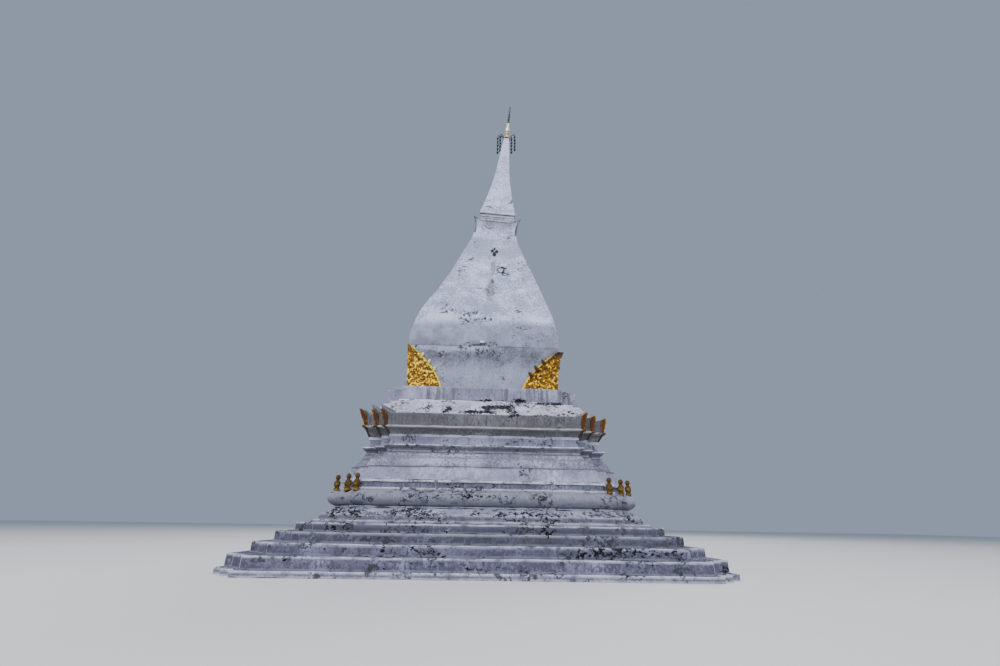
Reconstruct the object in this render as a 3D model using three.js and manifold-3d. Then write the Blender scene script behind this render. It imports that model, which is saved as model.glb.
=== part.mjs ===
// A whitewashed brick stupa: stepped base, waisted redented pedestal, square bud-shaped relic body,
// concave spire, gilded finial and iron parasol.
// Millimetres, +Z up. The origin is the centre of the base where it meets the ground.
// The front faces -Y and +X is on its right.
import * as THREE from "three";
import { mergeVertices } from "three/addons/utils/BufferGeometryUtils.js";
import Module from "manifold-3d";

// Driving dimensions
const HEIGHT = 19190; // ground to the tip of the iron rod
const BASE_HALF = 5445; // half the side of the lowest step
const SEAT_GAP = 0.3; // joint left between pieces that a curved or leaning face carries
const PLINTH_SHIFT = -100; // the plinth and the bud stand a little left of the base's centre
const LEAN_DEG = 4.25; // lean of the spire to the right
const LEAN_START = 6100; // height at which the bud begins to bend over
const LEAN_END = 8900; // height at which the full lean is reached

// Heights of the joints between the tiers
const LEDGE_TOP = 987;
const TORUS_FOOT = 1372;
const TORUS_TOP = 1737;
const DADO_FOOT = 1990;
const BAND_FOOT = 2335;
const CORNICE_FOOT = 2712;
const NECK_FOOT = 2905;
const FLARE_FOOT = 3167;
const RIM_FOOT = 3375;
const RIM_TOP = 3700;
const SLOPE_TOP = 4205;
const PLINTH_TOP = 4610;
const CREASE = 6060; // widest level of the bud
const BUD_TOP = 11050; // where the bud meets its square neck
const NECK_TOP = 11930;

// Depth of the stepped corners: the difference between a tier's half-width and its main face's half-length
const REDENT_BASE = 600;
const REDENT_TOP = 700;
const REDENT_PLINTH = 520;
const MIDDLE_BASE = 0.5; // how far in the middle one of a corner's three arrises stands, as a share
const MIDDLE_TOP = 0.55;

// Horned rim
const RIM_HALF = 3430;
const LEFT_HORN_RISES = [210, 300, 215]; // height of the tips above the rim, from the side to the front
const RIGHT_HORN_RISES = [100, 115, 115];
const LEFT_HORN_OUTS = [60, 28, 5]; // how far the tips lean out along each axis
const RIGHT_HORN_OUTS = [12, 15, 8];
const HORN_REACH = 620; // how far along a main face the horn's sweep runs
const HORN_VALLEY = 0.55; // share of the rise that is left between the horns of a corner
const LEFT_LIFTS = [115, 92, 58, 35, 0]; // how far the rim's foot is drawn up round a corner, side to front
const RIGHT_LIFTS = [40, 32, 22, 12, 0];
const LIFT_REACH = 1400; // how far along the side's face the lift runs out
const RIM_CORE = 3000; // half-width inside which the rim's joints are flat
const HORN_THICKNESS = 95;
const RIM_LEDGE = 165; // from the rim's edge back to the foot of the slope

// Small horns at the four corners of the neck
const FIN_RISE = 105;
const FIN_OUT = 70;
const FIN_REACH = 330;
const FIN_THICKNESS = 40;

// Gilded corner leaves at the foot of the bud
const LEAF_WIDTH = 830;
const LEAF_HEIGHT = 1430;
const LEAF_TIP = 25; // width left at the leaf's tip on each face
const LEAF_CURLS = [0.57, 0.72, 0.85]; // where the curls sit, as a share of the leaf's height
const CURL_REACH = 75;

// Gilded lotus buds on the roll
const LOTUS_HEIGHT = 380;
const LOTUS_RADIUS = 88;
const LOTUS_OUT = 64; // from the arris of the band behind to the bud's axis, along each axis
// How far each bud is set sideways off its arris, for the back right, back left, front left and
// front right corners
const LOTUS_SLIPS = [
  [0, 0, 0],
  [0, 0, 0],
  [10, -65, -55],
  [0, -110, -65],
];

// Iron parasol. Of each arm: how far out its tip is, where it points in degrees, counter-clockwise
// from the right side, and the length of the string that hangs from it
const PARASOL_ARMS = [
  [413, 173, 1040],
  [304, 190, 990],
  [218, 12, 960],
  [364, -16, 920],
];
const HUB_RADIUS = 170; // iron plate between the spire and the gilded skirt
const HUB_THICKNESS = 45;
const ARM_RISE = 270; // from the hub to the tip of an arm, where the string hangs
const ROD_RADIUS = 18;
const PENDANT_HALF_HEIGHT = 100;
const PENDANT_SHARES = [0.19, 0.45, 0.71, 0.97]; // where the leaves hang, as a share of the string's length

const FINISH = {
  limewash: { color: 0xc9ccd4, roughness: 0.9, metalness: 0 },
  shadedLimewash: { color: 0xaeb2bd, roughness: 0.92, metalness: 0 },
  mouldyLimewash: { color: 0x8f9196, roughness: 0.95, metalness: 0 },
  gilding: { color: 0xd9a227, roughness: 0.35, metalness: 0.8 },
  darkGilding: { color: 0x8a6420, roughness: 0.5, metalness: 0.6 },
  iron: { color: 0x1d2230, roughness: 0.6, metalness: 0.7 },
};

const wasm = await Module();
wasm.setup();

const materials = Object.fromEntries(
  Object.entries(FINISH).map(([name, values]) => [name, new THREE.MeshStandardMaterial(values)]),
);

// Joins and cuts

function solidOf(geometry) {
  const bare = geometry.clone();
  bare.deleteAttribute("normal");
  bare.deleteAttribute("uv");
  const merged = mergeVertices(bare, 1e-3);
  return new wasm.Manifold(
    new wasm.Mesh({
      numProp: 3,
      vertProperties: new Float32Array(merged.attributes.position.array),
      triVerts: new Uint32Array(merged.index.array),
    }),
  );
}

function geometryOf(solid) {
  const mesh = solid.getMesh();
  const geometry = new THREE.BufferGeometry();
  geometry.setAttribute("position", new THREE.BufferAttribute(new Float32Array(mesh.vertProperties), 3));
  geometry.setIndex(new THREE.BufferAttribute(new Uint32Array(mesh.triVerts), 1));
  return geometry;
}

function joined(geometries) {
  return geometryOf(geometries.map(solidOf).reduce((whole, next) => whole.add(next)));
}

// Outlines and lofts

const mix = THREE.MathUtils.lerp;

// The half-width at a height, read off a profile of [half-width, height] pairs.
function widthAt(profile, z) {
  const upper = Math.max(1, profile.findIndex(([, level]) => level >= z));
  const [lowWidth, lowZ] = profile[upper - 1];
  const [highWidth, highZ] = profile[upper];
  return mix(lowWidth, highWidth, (z - lowZ) / (highZ - lowZ));
}

// One quarter of a square plan whose corner steps back twice, so that it shows three outward corners.
function redentedQuarter(half, redent, middleShare = MIDDLE_BASE) {
  const face = half - redent;
  const middle = half - redent * middleShare;
  return [
    [half, face],
    [middle, face],
    [middle, middle],
    [face, middle],
    [face, half],
  ];
}

const squareQuarter = (half) => [[half, half]];

// Four turns of a quarter make the whole outline, counter-clockwise seen from above.
function turned(quarter) {
  return [0, 1, 2, 3].flatMap((turn) => {
    const [cos, sin] = [[1, 0], [0, 1], [-1, 0], [0, -1]][turn];
    return quarter.map(([x, y]) => new THREE.Vector2(x * cos - y * sin, x * sin + y * cos));
  });
}

const ringAt = (outline, z, shift = 0) => outline.map((p) => new THREE.Vector3(p.x + shift, p.y, z));

// A closed skin through rings of equally many points, with a flat cap at each end. The quads above
// the rings in crossed are cut along their other diagonal, to match a neighbour's skin.
function loft(rings, crossed = []) {
  const count = rings[0].length;
  const positions = rings.flat().flatMap((p) => [p.x, p.y, p.z]);
  const faces = [];
  for (let ring = 0; ring < rings.length - 1; ring += 1) {
    for (let i = 0; i < count; i += 1) {
      const a = ring * count + i;
      const b = ring * count + ((i + 1) % count);
      if (crossed.includes(ring)) faces.push(a, b, a + count, b, b + count, a + count);
      else faces.push(a, b, b + count, a, b + count, a + count);
    }
  }
  const capOf = (ring) => THREE.ShapeUtils.triangulateShape(ring.map((p) => new THREE.Vector2(p.x, p.y)), []);
  const top = (rings.length - 1) * count;
  capOf(rings[0]).forEach(([a, b, c]) => faces.push(c, b, a));
  capOf(rings.at(-1)).forEach(([a, b, c]) => faces.push(a + top, b + top, c + top));
  const geometry = new THREE.BufferGeometry();
  geometry.setAttribute("position", new THREE.Float32BufferAttribute(positions, 3));
  geometry.setIndex(faces);
  return geometry;
}

// A tier of the pedestal: a profile of [half-width, height] pairs carried round the redented plan.
function tier(profile, redent, middleShare) {
  return loft(profile.map(([half, z]) => ringAt(turned(redentedQuarter(half, redent, middleShare)), z)));
}
const topTier = (profile) => tier(profile, REDENT_TOP, MIDDLE_TOP);

// Points on a quarter or half ellipse, from one angle to another.
function roundStretch(centreHalf, centreZ, reach, rise, fromDeg, toDeg, steps) {
  return Array.from({ length: steps + 1 }, (_, i) => {
    const angle = THREE.MathUtils.degToRad(mix(fromDeg, toDeg, i / steps));
    return [centreHalf + reach * Math.cos(angle), centreZ + rise * Math.sin(angle)];
  });
}

// Points on a hollow curve between two ends, as far in from the straight line as hollow says.
function hollowStretch([halfA, zA], [halfB, zB], hollow, steps) {
  return Array.from({ length: steps + 1 }, (_, i) => {
    const t = i / steps;
    return [mix(halfA, halfB, t) - hollow * 4 * t * (1 - t), mix(zA, zB, t)];
  });
}

// The scene graph

const stupa = new THREE.Group();
stupa.name = "stupa";

function place(parent, name, geometry, material) {
  const mesh = new THREE.Mesh(geometry, material);
  mesh.name = name;
  parent.add(mesh);
  return mesh;
}

// Stepped base

const STEP_TIERS = [
  ["ground_step", BASE_HALF, 0, 120],
  ["base_step_lower", 5300, 120, 370],
  ["base_step_middle", 4980, 370, 590],
  ["base_step_upper", 4660, 590, 800],
  ["ledge_step", 4350, 800, LEDGE_TOP],
  ["slab_foot_step", 4110, LEDGE_TOP, 1050],
];
STEP_TIERS.forEach(([name, half, foot, top]) => {
  place(stupa, name, tier([[half, foot], [half, top]], REDENT_BASE), materials.limewash);
});

place(stupa, "slab", tier([[3990, 1050], [3970, 1180]], REDENT_BASE), materials.limewash);
place(
  stupa,
  "sloped_slab",
  tier(hollowStretch([3950, 1180], [3765, 1332], 22, 5), REDENT_BASE),
  materials.limewash,
);
place(stupa, "roll_fillet", tier([[3765, 1332], [3765, TORUS_FOOT]], REDENT_BASE), materials.limewash);

const rollMiddle = (TORUS_FOOT + TORUS_TOP) / 2;
const rollRise = (TORUS_TOP - TORUS_FOOT) / 2;
const rollGeometry = tier(roundStretch(3676, rollMiddle, 200, rollRise, -90, 90, 12), REDENT_BASE);
place(stupa, "roll", rollGeometry, materials.limewash);

// Dado and bands

const DADO_FILLET = 3650;
place(
  stupa,
  "dado_fillets",
  tier(
    [
      [DADO_FILLET, TORUS_TOP],
      [DADO_FILLET, 1795],
      [3592, 1795],
      [3584, 1925],
      [3648, 1925],
      [3640, DADO_FOOT],
    ],
    REDENT_BASE,
  ),
  materials.shadedLimewash,
);
place(
  stupa,
  "sloping_dado",
  tier(hollowStretch([3640, DADO_FOOT], [3485, BAND_FOOT], 22, 6), REDENT_BASE),
  materials.limewash,
);
place(stupa, "lower_band", topTier([[3460, BAND_FOOT], [3362, 2566]]), materials.limewash);
place(stupa, "upper_band", topTier([[3328, 2566], [3256, CORNICE_FOOT]]), materials.limewash);

// Lower cornice, waist and flares

place(
  stupa,
  "lower_cornice",
  topTier([
    [3242, CORNICE_FOOT],
    [3242, 2770],
    [3262, 2776],
    [3292, 2810],
    [3345, 2868],
    [3338, 2890],
    [3290, NECK_FOOT],
  ]),
  materials.limewash,
);
place(
  stupa,
  "waist",
  topTier([...hollowStretch([3215, NECK_FOOT], [3205, 3105], 22, 4), [3228, 3108], [3228, FLARE_FOOT]]),
  materials.limewash,
);

// Flares and horned rim: from the lower flare up, every course is drawn up a little round the corners,
// and the rim's edge sweeps up and out into a horn at each arris.

// Shares along a side, closer together near a horn: away from an arris, up to one, and along a main
// face, which has one at each end.
const FROM_HORN = [0, 0.2, 0.42, 0.68];
const TO_HORN = [0, 0.32, 0.58, 0.8];
const BETWEEN_HORNS = [0, 0.02, 0.045, 0.075, 0.112, 0.5, 0.888, 0.925, 0.955, 0.98];

// How strongly a point is swept up: 1 at the horn, down to the floor at the end of its reach.
const sweepAt = (distance, reach, floor) => mix(floor, 1, Math.max(0, 1 - distance / reach) ** 1.9);

function sweptPoint(point, horn, sweep, z, rise, out) {
  const [pushX, pushY] = [horn.x, horn.y].map((c) => Math.sign(c) * out * sweep);
  return new THREE.Vector3(point.x + pushX, point.y + pushY, z + rise * sweep);
}

// A face with a horn at each end. Each of rises, outs and lifts holds the values of the two ends.
function sweptFace(start, end, reach, z, rises, outs, lifts = [0, 0]) {
  return BETWEEN_HORNS.map((share) => {
    const point = start.clone().lerp(end, share);
    const near = share < 0.5 ? 0 : 1;
    const horn = [start, end][near];
    const distance = point.distanceTo(horn);
    const lift = lifts[near] * Math.max(0, 1 - distance / LIFT_REACH) ** 2;
    return sweptPoint(point, horn, sweepAt(distance, reach, 0), z + lift, rises[near], outs[near]);
  });
}

// Values for all four corners in the outline's order, from those of a right and a left corner listed
// from the side to the front. The back repeats the front.
const allCorners = (right, left) => [right, left.toReversed(), left, right.toReversed()].flat();
const hornRises = allCorners(RIGHT_HORN_RISES, LEFT_HORN_RISES);
const hornOuts = allCorners(RIGHT_HORN_OUTS, LEFT_HORN_OUTS);
const cornerLifts = allCorners(RIGHT_LIFTS, LEFT_LIFTS);
const hornOf = (i) => (Math.floor(i / 5) * 3 + (i % 5) / 2) % hornRises.length;

// One ring of the flares and the rim, with a share of the horns' rise and of the corners' lift.
function rimRing(half, z, hornShare, liftShare) {
  const outline = turned(redentedQuarter(half, REDENT_TOP, MIDDLE_TOP));
  return outline.flatMap((start, i) => {
    const next = (i + 1) % outline.length;
    const end = outline[next];
    const lifts = [cornerLifts[i] * liftShare, cornerLifts[next] * liftShare];
    if (i % 5 === 4) {
      const horns = [hornOf(i), hornOf(next)];
      const rises = horns.map((horn) => hornRises[horn] * hornShare);
      const outs = horns.map((horn) => hornOuts[horn] * hornShare);
      return sweptFace(start, end, HORN_REACH, z, rises, outs, lifts);
    }
    const startsAtHorn = (i % 5) % 2 === 0;
    const horn = startsAtHorn ? start : end;
    const k = hornOf(startsAtHorn ? i : next);
    return (startsAtHorn ? FROM_HORN : TO_HORN).map((share) => {
      const point = start.clone().lerp(end, share);
      const sweep = sweepAt(point.distanceTo(horn), start.distanceTo(end), HORN_VALLEY);
      const level = z + mix(lifts[0], lifts[1], share);
      return sweptPoint(point, horn, sweep, level, hornRises[k] * hornShare, hornOuts[k] * hornShare);
    });
  });
}

const FILLET_FOOT = 3322;
const flareRings = hollowStretch([3222, FLARE_FOOT], [3342, FILLET_FOOT], 16, 4).map(([half, z]) =>
  rimRing(half, z, 0, (z - FLARE_FOOT) / (FILLET_FOOT - FLARE_FOOT)),
);
const filletCore = rimRing(RIM_CORE, FILLET_FOOT, 0, 0);
place(stupa, "lower_flare", loft([...flareRings, filletCore]), materials.shadedLimewash);

const rimFoot = rimRing(3352, RIM_FOOT, 0, 1);
const rimCore = rimRing(RIM_CORE, RIM_FOOT, 0, 0);
const filletRings = [rimRing(3388, FILLET_FOOT, 0, 1), rimRing(3388, RIM_FOOT, 0, 1)];
place(
  stupa,
  "flare_fillet",
  loft([filletCore, flareRings.at(-1), ...filletRings, rimFoot, rimCore], [0]),
  materials.limewash,
);

const rimRings = [0.35, 0.7, 1].map((t) =>
  rimRing(mix(3352, RIM_HALF, t ** 1.3), mix(RIM_FOOT, RIM_TOP, t), t ** 2, 1 - t),
);
const rimTop = [
  rimRing(RIM_HALF - HORN_THICKNESS, RIM_TOP, 0.85, 0),
  rimRing(RIM_HALF - RIM_LEDGE, RIM_TOP, 0, 0),
];
place(stupa, "horned_rim", loft([rimCore, rimFoot, ...rimRings, ...rimTop], [0]), materials.shadedLimewash);

// Weathered slope and plinth

const slopeProfile = hollowStretch([RIM_HALF - RIM_LEDGE, RIM_TOP], [2860, SLOPE_TOP], 12, 6);
place(
  stupa,
  "weathered_slope",
  loft(
    slopeProfile.map(([half, z]) => {
      const t = (z - RIM_TOP) / (SLOPE_TOP - RIM_TOP);
      const [redent, middle] = [mix(REDENT_TOP, REDENT_PLINTH, t), mix(MIDDLE_TOP, MIDDLE_BASE, t)];
      return ringAt(turned(redentedQuarter(half, redent, middle)), z, PLINTH_SHIFT * t);
    }),
  ),
  materials.mouldyLimewash,
);
const plinthOutline = turned(redentedQuarter(2815, REDENT_PLINTH));
place(
  stupa,
  "plinth",
  loft([SLOPE_TOP, PLINTH_TOP].map((z) => ringAt(plinthOutline, z, PLINTH_SHIFT))),
  materials.limewash,
);

// Bud: square in plan, undercut at its foot, widest at a soft crease, then drawn in to the neck.

const BOWL_PROFILE = [
  [2095, PLINTH_TOP],
  [2128, 4850],
  [2185, 5200],
  [2245, 5550],
  [2300, 5850],
  [2335, CREASE],
];
// Half-width, height, and how far the middle is set off the smoothly bent centre line: the left face is
// straighter than the right one, so the body's middle stands further to the right than at its ends.
const BODY_PROFILE = [
  [2335, CREASE, 0],
  [2342, 6250, 5],
  [2311, 6565, 17],
  [2225, 6964, 18],
  [2116, 7371, 36],
  [1996, 7717, 70],
  [1819, 8161, 113],
  [1636, 8695, 122],
  [1467, 9174, 109],
  [1281, 9746, 75],
  [1073, 10377, 30],
  [866, BUD_TOP, 0],
];
place(
  stupa,
  "bud_bowl",
  loft(BOWL_PROFILE.map(([half, z]) => ringAt(turned(squareQuarter(half)), z, PLINTH_SHIFT))),
  materials.limewash,
);

const LEAN = THREE.MathUtils.degToRad(LEAN_DEG);
// The lean at a height, eased in between the two levels.
const leanAt = (z) => LEAN * THREE.MathUtils.smoothstep(z, LEAN_START, LEAN_END);

// The bent centre line, followed upwards in short steps.
function centreAt(z) {
  const stride = 10;
  let x = PLINTH_SHIFT;
  for (let level = PLINTH_TOP; level < z; level += stride) x += stride * Math.tan(leanAt(level));
  return x;
}

// A ring square to the bent centre line, with its middle set sideways off that line by shift.
function leaningRing(half, z, shift) {
  const lean = leanAt(z);
  const turnMatrix = new THREE.Matrix4().makeRotationY(lean).setPosition(centreAt(z), 0, z);
  return ringAt(turned(squareQuarter(half)), 0, shift).map((p) => p.applyMatrix4(turnMatrix));
}
place(stupa, "bud_body", loft(BODY_PROFILE.map((row) => leaningRing(...row))), materials.limewash);

// Everything above the bud stands square to the leaning centre line.
const upper = new THREE.Group();
upper.position.set(centreAt(BUD_TOP), 0, BUD_TOP);
upper.rotation.y = LEAN;
stupa.add(upper);
const along = (z) => (z - BUD_TOP) / Math.cos(LEAN); // distance up the leaning line
const squareLoft = (profile) => loft(profile.map(([half, h]) => ringAt(turned(squareQuarter(half)), h)));

// Neck and collar

const NECK_PROFILE = [
  [866, SEAT_GAP],
  [822, along(11280)],
  [797, along(11509)],
  [800, along(11700)],
  [812, along(11850)],
  [836, along(NECK_TOP)],
];
const neckTop = along(NECK_TOP);

// A square ring of the neck, raised and pushed out at its four corners.
function finnedRing(half, h, strength) {
  const outline = turned(squareQuarter(half));
  const rises = [FIN_RISE * strength, FIN_RISE * strength];
  const outs = [FIN_OUT * strength, FIN_OUT * strength];
  return outline.flatMap((start, i) => sweptFace(start, outline[(i + 1) % 4], FIN_REACH, h, rises, outs));
}
const neckRings = NECK_PROFILE.map(([half, h]) => {
  const strength = Math.max(0, (h / neckTop - 0.45) / 0.55) ** 2;
  return finnedRing(half, h, strength);
});
neckRings.push(finnedRing(836 - FIN_THICKNESS, neckTop, 0.85), finnedRing(785, neckTop, 0));
place(upper, "bud_neck", loft(neckRings), materials.limewash);

const collarFoot = along(NECK_TOP) + SEAT_GAP;
const collarStep = along(12100);
const spireFoot = along(12250);
place(
  upper,
  "collar_steps",
  squareLoft([
    [768, collarFoot],
    [768, collarStep],
    [705, collarStep],
    [700, spireFoot],
  ]),
  materials.limewash,
);

// Spire: a square concave needle on a thin band

const SPIRE_TOP = along(17060);
const SPIRE_PROFILE = [
  [682, spireFoot + SEAT_GAP],
  [682, along(12380)],
  [706, along(12385)],
  [706, along(12440)],
  [612, along(12883)],
  [495, along(13489)],
  [418, along(13975)],
  [343, along(14445)],
  [265, along(15208)],
  [218, along(15821)],
  [182, along(16291)],
  [128, along(16854)],
  [108, SPIRE_TOP],
];
place(upper, "spire", squareLoft(SPIRE_PROFILE), materials.limewash);

// Finial

const FINIAL_SIDES = 14;
const ROD_SIDES = 8;
const lathe = (points, sides = FINIAL_SIDES) => {
  const geometry = new THREE.LatheGeometry(points.map(([r, z]) => new THREE.Vector2(r, z)), sides);
  return geometry.rotateX(Math.PI / 2);
};
const hubFoot = SPIRE_TOP + SEAT_GAP;
const hubTop = hubFoot + HUB_THICKNESS;
const skirtFoot = hubTop + SEAT_GAP;
const skirtTop = skirtFoot + 190;
const stemTop = along(18070);
const STEM_RADIUS = 74;
place(
  upper,
  "finial_skirt",
  lathe([
    [0, skirtFoot],
    [128, skirtFoot],
    [136, skirtFoot + 25],
    [108, skirtFoot + 85],
    [86, skirtTop],
    [0, skirtTop],
  ]),
  materials.gilding,
);
const stemFoot = skirtTop + SEAT_GAP;
place(
  upper,
  "finial_stem",
  lathe([
    [0, stemFoot],
    [STEM_RADIUS, stemFoot],
    [STEM_RADIUS, stemFoot + 40],
    [62, stemFoot + 80],
    [66, stemFoot + 130],
    [88, stemFoot + 165],
    [64, stemFoot + 205],
    [88, stemFoot + 250],
    [78, stemFoot + 400],
    [50, stemTop],
    [0, stemTop],
  ]),
  materials.gilding,
);
const rodFoot = stemTop + SEAT_GAP;
const rodTop = along(HEIGHT);
const beads = [0.06, 0.22, 0.36, 0.5].flatMap((share, i) => {
  const middle = mix(rodFoot, rodTop, share);
  const radius = 54 - 6 * i;
  return [[radius * 0.7, middle - 40], [radius, middle], [radius * 0.7, middle + 40]];
});
place(
  upper,
  "finial_rod",
  lathe(
    [
      [0, rodFoot],
      [30, rodFoot],
      ...beads,
      [20, mix(rodFoot, rodTop, 0.62)],
      [30, mix(rodFoot, rodTop, 0.72)],
      [0, rodTop],
    ],
    ROD_SIDES,
  ),
  materials.iron,
);

// Parasol: arms curve up out of a plate under the skirt, and a string of leaves hangs from each tip.

const armTop = hubFoot + ARM_RISE;

function rodAlong(points, radius, sides, steps) {
  const section = new THREE.Shape(
    Array.from({ length: sides }, (_, i) => {
      const angle = ((i + 0.4) / sides) * 2 * Math.PI;
      return new THREE.Vector2(radius * Math.cos(angle), radius * Math.sin(angle));
    }),
  );
  const extrudePath = new THREE.CatmullRomCurve3(points.map((p) => new THREE.Vector3(...p)));
  return new THREE.ExtrudeGeometry(section, { extrudePath, steps, bevelEnabled: false });
}

function pendantLeaf(z, size) {
  const geometry = new THREE.OctahedronGeometry(1);
  return geometry.scale(size * 0.34, size * 0.5, size).translate(0, 0, z);
}

function parasolArm([radius, degrees, length]) {
  const turn = THREE.MathUtils.degToRad(degrees);
  const root = HUB_RADIUS - 8;
  const route = [
    [root, 0, hubFoot + HUB_THICKNESS / 2],
    [mix(root, radius, 0.35), 0, hubFoot + ARM_RISE * 0.55],
    [mix(root, radius, 0.7), 0, hubFoot + ARM_RISE * 0.9],
    [radius, 0, armTop],
  ];
  const arm = rodAlong(route, ROD_RADIUS, 5, 7).rotateZ(turn);
  const string = rodAlong([[0, 0, 15], [0, 0, -length]], ROD_RADIUS * 0.7, 4, 1);
  const leaves = PENDANT_SHARES.map((share) => pendantLeaf(-share * length, PENDANT_HALF_HEIGHT));
  const [tipX, tipY] = [radius * Math.cos(turn), radius * Math.sin(turn)];
  // The spire leans but the string hangs plumb.
  const hanging = [string, ...leaves].map((piece) =>
    piece.rotateZ(turn).rotateY(-LEAN).translate(tipX, tipY, armTop),
  );
  return [arm, ...hanging];
}

const hub = lathe([[0, hubFoot], [HUB_RADIUS, hubFoot], [HUB_RADIUS, hubTop], [0, hubTop]]);
place(upper, "parasol", joined([hub, ...PARASOL_ARMS.flatMap(parasolArm)]), materials.iron);

// Gilded corner leaves: each wraps both faces of a bottom corner of the bud.

function leafRing(z) {
  const t = (z - PLINTH_TOP) / LEAF_HEIGHT;
  const inner = widthAt(BOWL_PROFILE, z) + SEAT_GAP;
  const outer = mix(2272, 2388, t ** 1.2);
  const curl = LEAF_CURLS.reduce((sum, level) => sum + Math.max(0, 1 - Math.abs(t - level) / 0.045), 0);
  const width = LEAF_WIDTH * Math.max(0, 1 - t * t) ** 0.65 + CURL_REACH * Math.min(1, curl);
  const edge = inner - LEAF_TIP - width;
  return [
    [outer, outer],
    [edge, outer],
    [edge, inner],
    [inner, inner],
    [inner, edge],
    [outer, edge],
  ].map(([x, y]) => new THREE.Vector3(x, y, z));
}

// Even levels, and the bowl's own levels, so that the leaf lies along the bowl's face.
const LEAF_LAYERS = 22;
const evenLevels = Array.from(
  { length: LEAF_LAYERS + 1 },
  (_, i) => PLINTH_TOP + (LEAF_HEIGHT * i) / LEAF_LAYERS,
);
const bowlLevels = BOWL_PROFILE.slice(1, -1).map(([, z]) => z);
const leafLevels = [...evenLevels, ...bowlLevels].sort((a, b) => a - b);
const CORNERS = ["back_right", "back_left", "front_left", "front_right"];
CORNERS.forEach((corner, turn) => {
  const leaf = place(stupa, `corner_leaf_${corner}`, loft(leafLevels.map(leafRing)), materials.gilding);
  leaf.rotation.z = (turn * Math.PI) / 2;
  leaf.position.x = PLINTH_SHIFT;
});

// Gilded lotus buds: one in front of each arris of the dado, standing on the roll.

const lotusGeometry = lathe(
  [
    [0, -90],
    [LOTUS_RADIUS * 0.8, -90],
    [LOTUS_RADIUS * 0.88, 24],
    [LOTUS_RADIUS * 0.66, 66],
    [LOTUS_RADIUS, 130],
    [LOTUS_RADIUS * 0.88, 200],
    [LOTUS_RADIUS * 0.42, 246],
    [LOTUS_RADIUS * 0.68, 302],
    [LOTUS_RADIUS * 0.55, 350],
    [0, LOTUS_HEIGHT],
  ],
  10,
);
const seat = solidOf(rollGeometry.clone().translate(0, 0, SEAT_GAP));
const arrises = redentedQuarter(DADO_FILLET, REDENT_BASE).filter((_, i) => i % 2 === 0);
CORNERS.forEach((corner, turn) => {
  arrises.forEach(([x, y], i) => {
    const slip = LOTUS_SLIPS[turn][i];
    const [standX, standY] = [x + LOTUS_OUT + slip, y + LOTUS_OUT - slip];
    const standing = solidOf(lotusGeometry.clone().translate(standX, standY, TORUS_TOP));
    const geometry = geometryOf(standing.subtract(seat));
    const lotus = place(stupa, `lotus_bud_${corner}_${i + 1}`, geometry, materials.darkGilding);
    lotus.rotation.z = (turn * Math.PI) / 2;
  });
});

export default stupa;
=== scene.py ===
# %% [markdown]
# # A whitewashed brick stupa, dressed in Blender
#
# The object is a solid brick tower under many coats of limewash: a stepped base, a pedestal with a waist and
# a horned rim, a square body shaped like a lotus bud, and a needle of a spire with a gilded and iron finial.
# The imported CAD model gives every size. This script puts weathered masonry, gilding and iron in its place.

# %% Load the frame
import itertools
from math import pi, radians

import bpy
import numpy as np
from mathutils import Matrix


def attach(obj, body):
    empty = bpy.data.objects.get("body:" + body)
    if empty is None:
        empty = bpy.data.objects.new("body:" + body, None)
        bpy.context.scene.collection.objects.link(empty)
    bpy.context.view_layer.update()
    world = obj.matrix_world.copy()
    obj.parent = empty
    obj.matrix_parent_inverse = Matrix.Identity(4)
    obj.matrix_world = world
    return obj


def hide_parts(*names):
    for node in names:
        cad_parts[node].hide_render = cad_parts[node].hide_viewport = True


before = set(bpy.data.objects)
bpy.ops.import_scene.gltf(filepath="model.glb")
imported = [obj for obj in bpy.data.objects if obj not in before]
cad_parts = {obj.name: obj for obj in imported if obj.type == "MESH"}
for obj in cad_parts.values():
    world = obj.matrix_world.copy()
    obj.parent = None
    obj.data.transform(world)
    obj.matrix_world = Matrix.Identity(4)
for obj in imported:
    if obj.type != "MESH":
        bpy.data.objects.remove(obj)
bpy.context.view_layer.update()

# %% [markdown]
# ## Camera
#
# The picture was taken from low down in front of the base, looking up, with a wide lens. The camera stands
# 1 m above the ground and 15 m from the axis, and is tilted up by 23 degrees. Its lens is 446 pixels long in
# a picture 1000 pixels wide. The tower itself is turned a little, which the camera's own turn makes up for.

# %% Camera
SENSOR = 36.0
LENS_PIXELS, PICTURE_WIDTH = 446.0, 1000.0


def in_scene(name, data):
    """A new object for some data, put in the scene."""
    item = bpy.data.objects.new(name, data)
    bpy.context.scene.collection.objects.link(item)
    return item


def placed(place, *turns):
    """A place and the turns made there, as a matrix. Each turn is degrees and an axis, and the last comes first."""
    matrix = Matrix.Translation(place)
    for degrees, axis in turns:
        matrix = matrix @ Matrix.Rotation(radians(degrees), 4, axis)
    return matrix


camera_data = bpy.data.cameras.new("camera")
camera_data.sensor_width = SENSOR
camera_data.lens = SENSOR * LENS_PIXELS / PICTURE_WIDTH
camera_data.clip_end = 500
camera = in_scene("camera", camera_data)
camera.matrix_world = placed((0.016, -15.236, 1.044), (-1.67, "Z"), (90 + 23.02, "X"), (0.93, "Z"))
bpy.context.scene.camera = camera
print("camera lens", round(camera_data.lens, 2), "mm")

# %% [markdown]
# ## Helpers for meshes
#
# Nearly every piece is a skin through rings of points: one ring for each level, all with equally many points.
# Laying the rings in one array, levels by points by xyz, lets numpy bend and roughen the whole piece at once.
# The first and last rings are closed with a fan of triangles, so that each piece is a solid.

# %% Skins through rings
def unit(values):
    """Values held between 0 and 1."""
    return np.clip(values, 0, 1)


def skin_faces(levels, points):
    """Quads between neighbouring rings, with the last point of a ring joined back to its first."""
    row, column = np.meshgrid(np.arange(levels - 1), np.arange(points), indexing="ij")
    right = (column + 1) % points
    quads = np.stack([row * points + column, row * points + right, (row + 1) * points + right,
                      (row + 1) * points + column], axis=-1)
    return quads.reshape(-1, 4)


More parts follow.
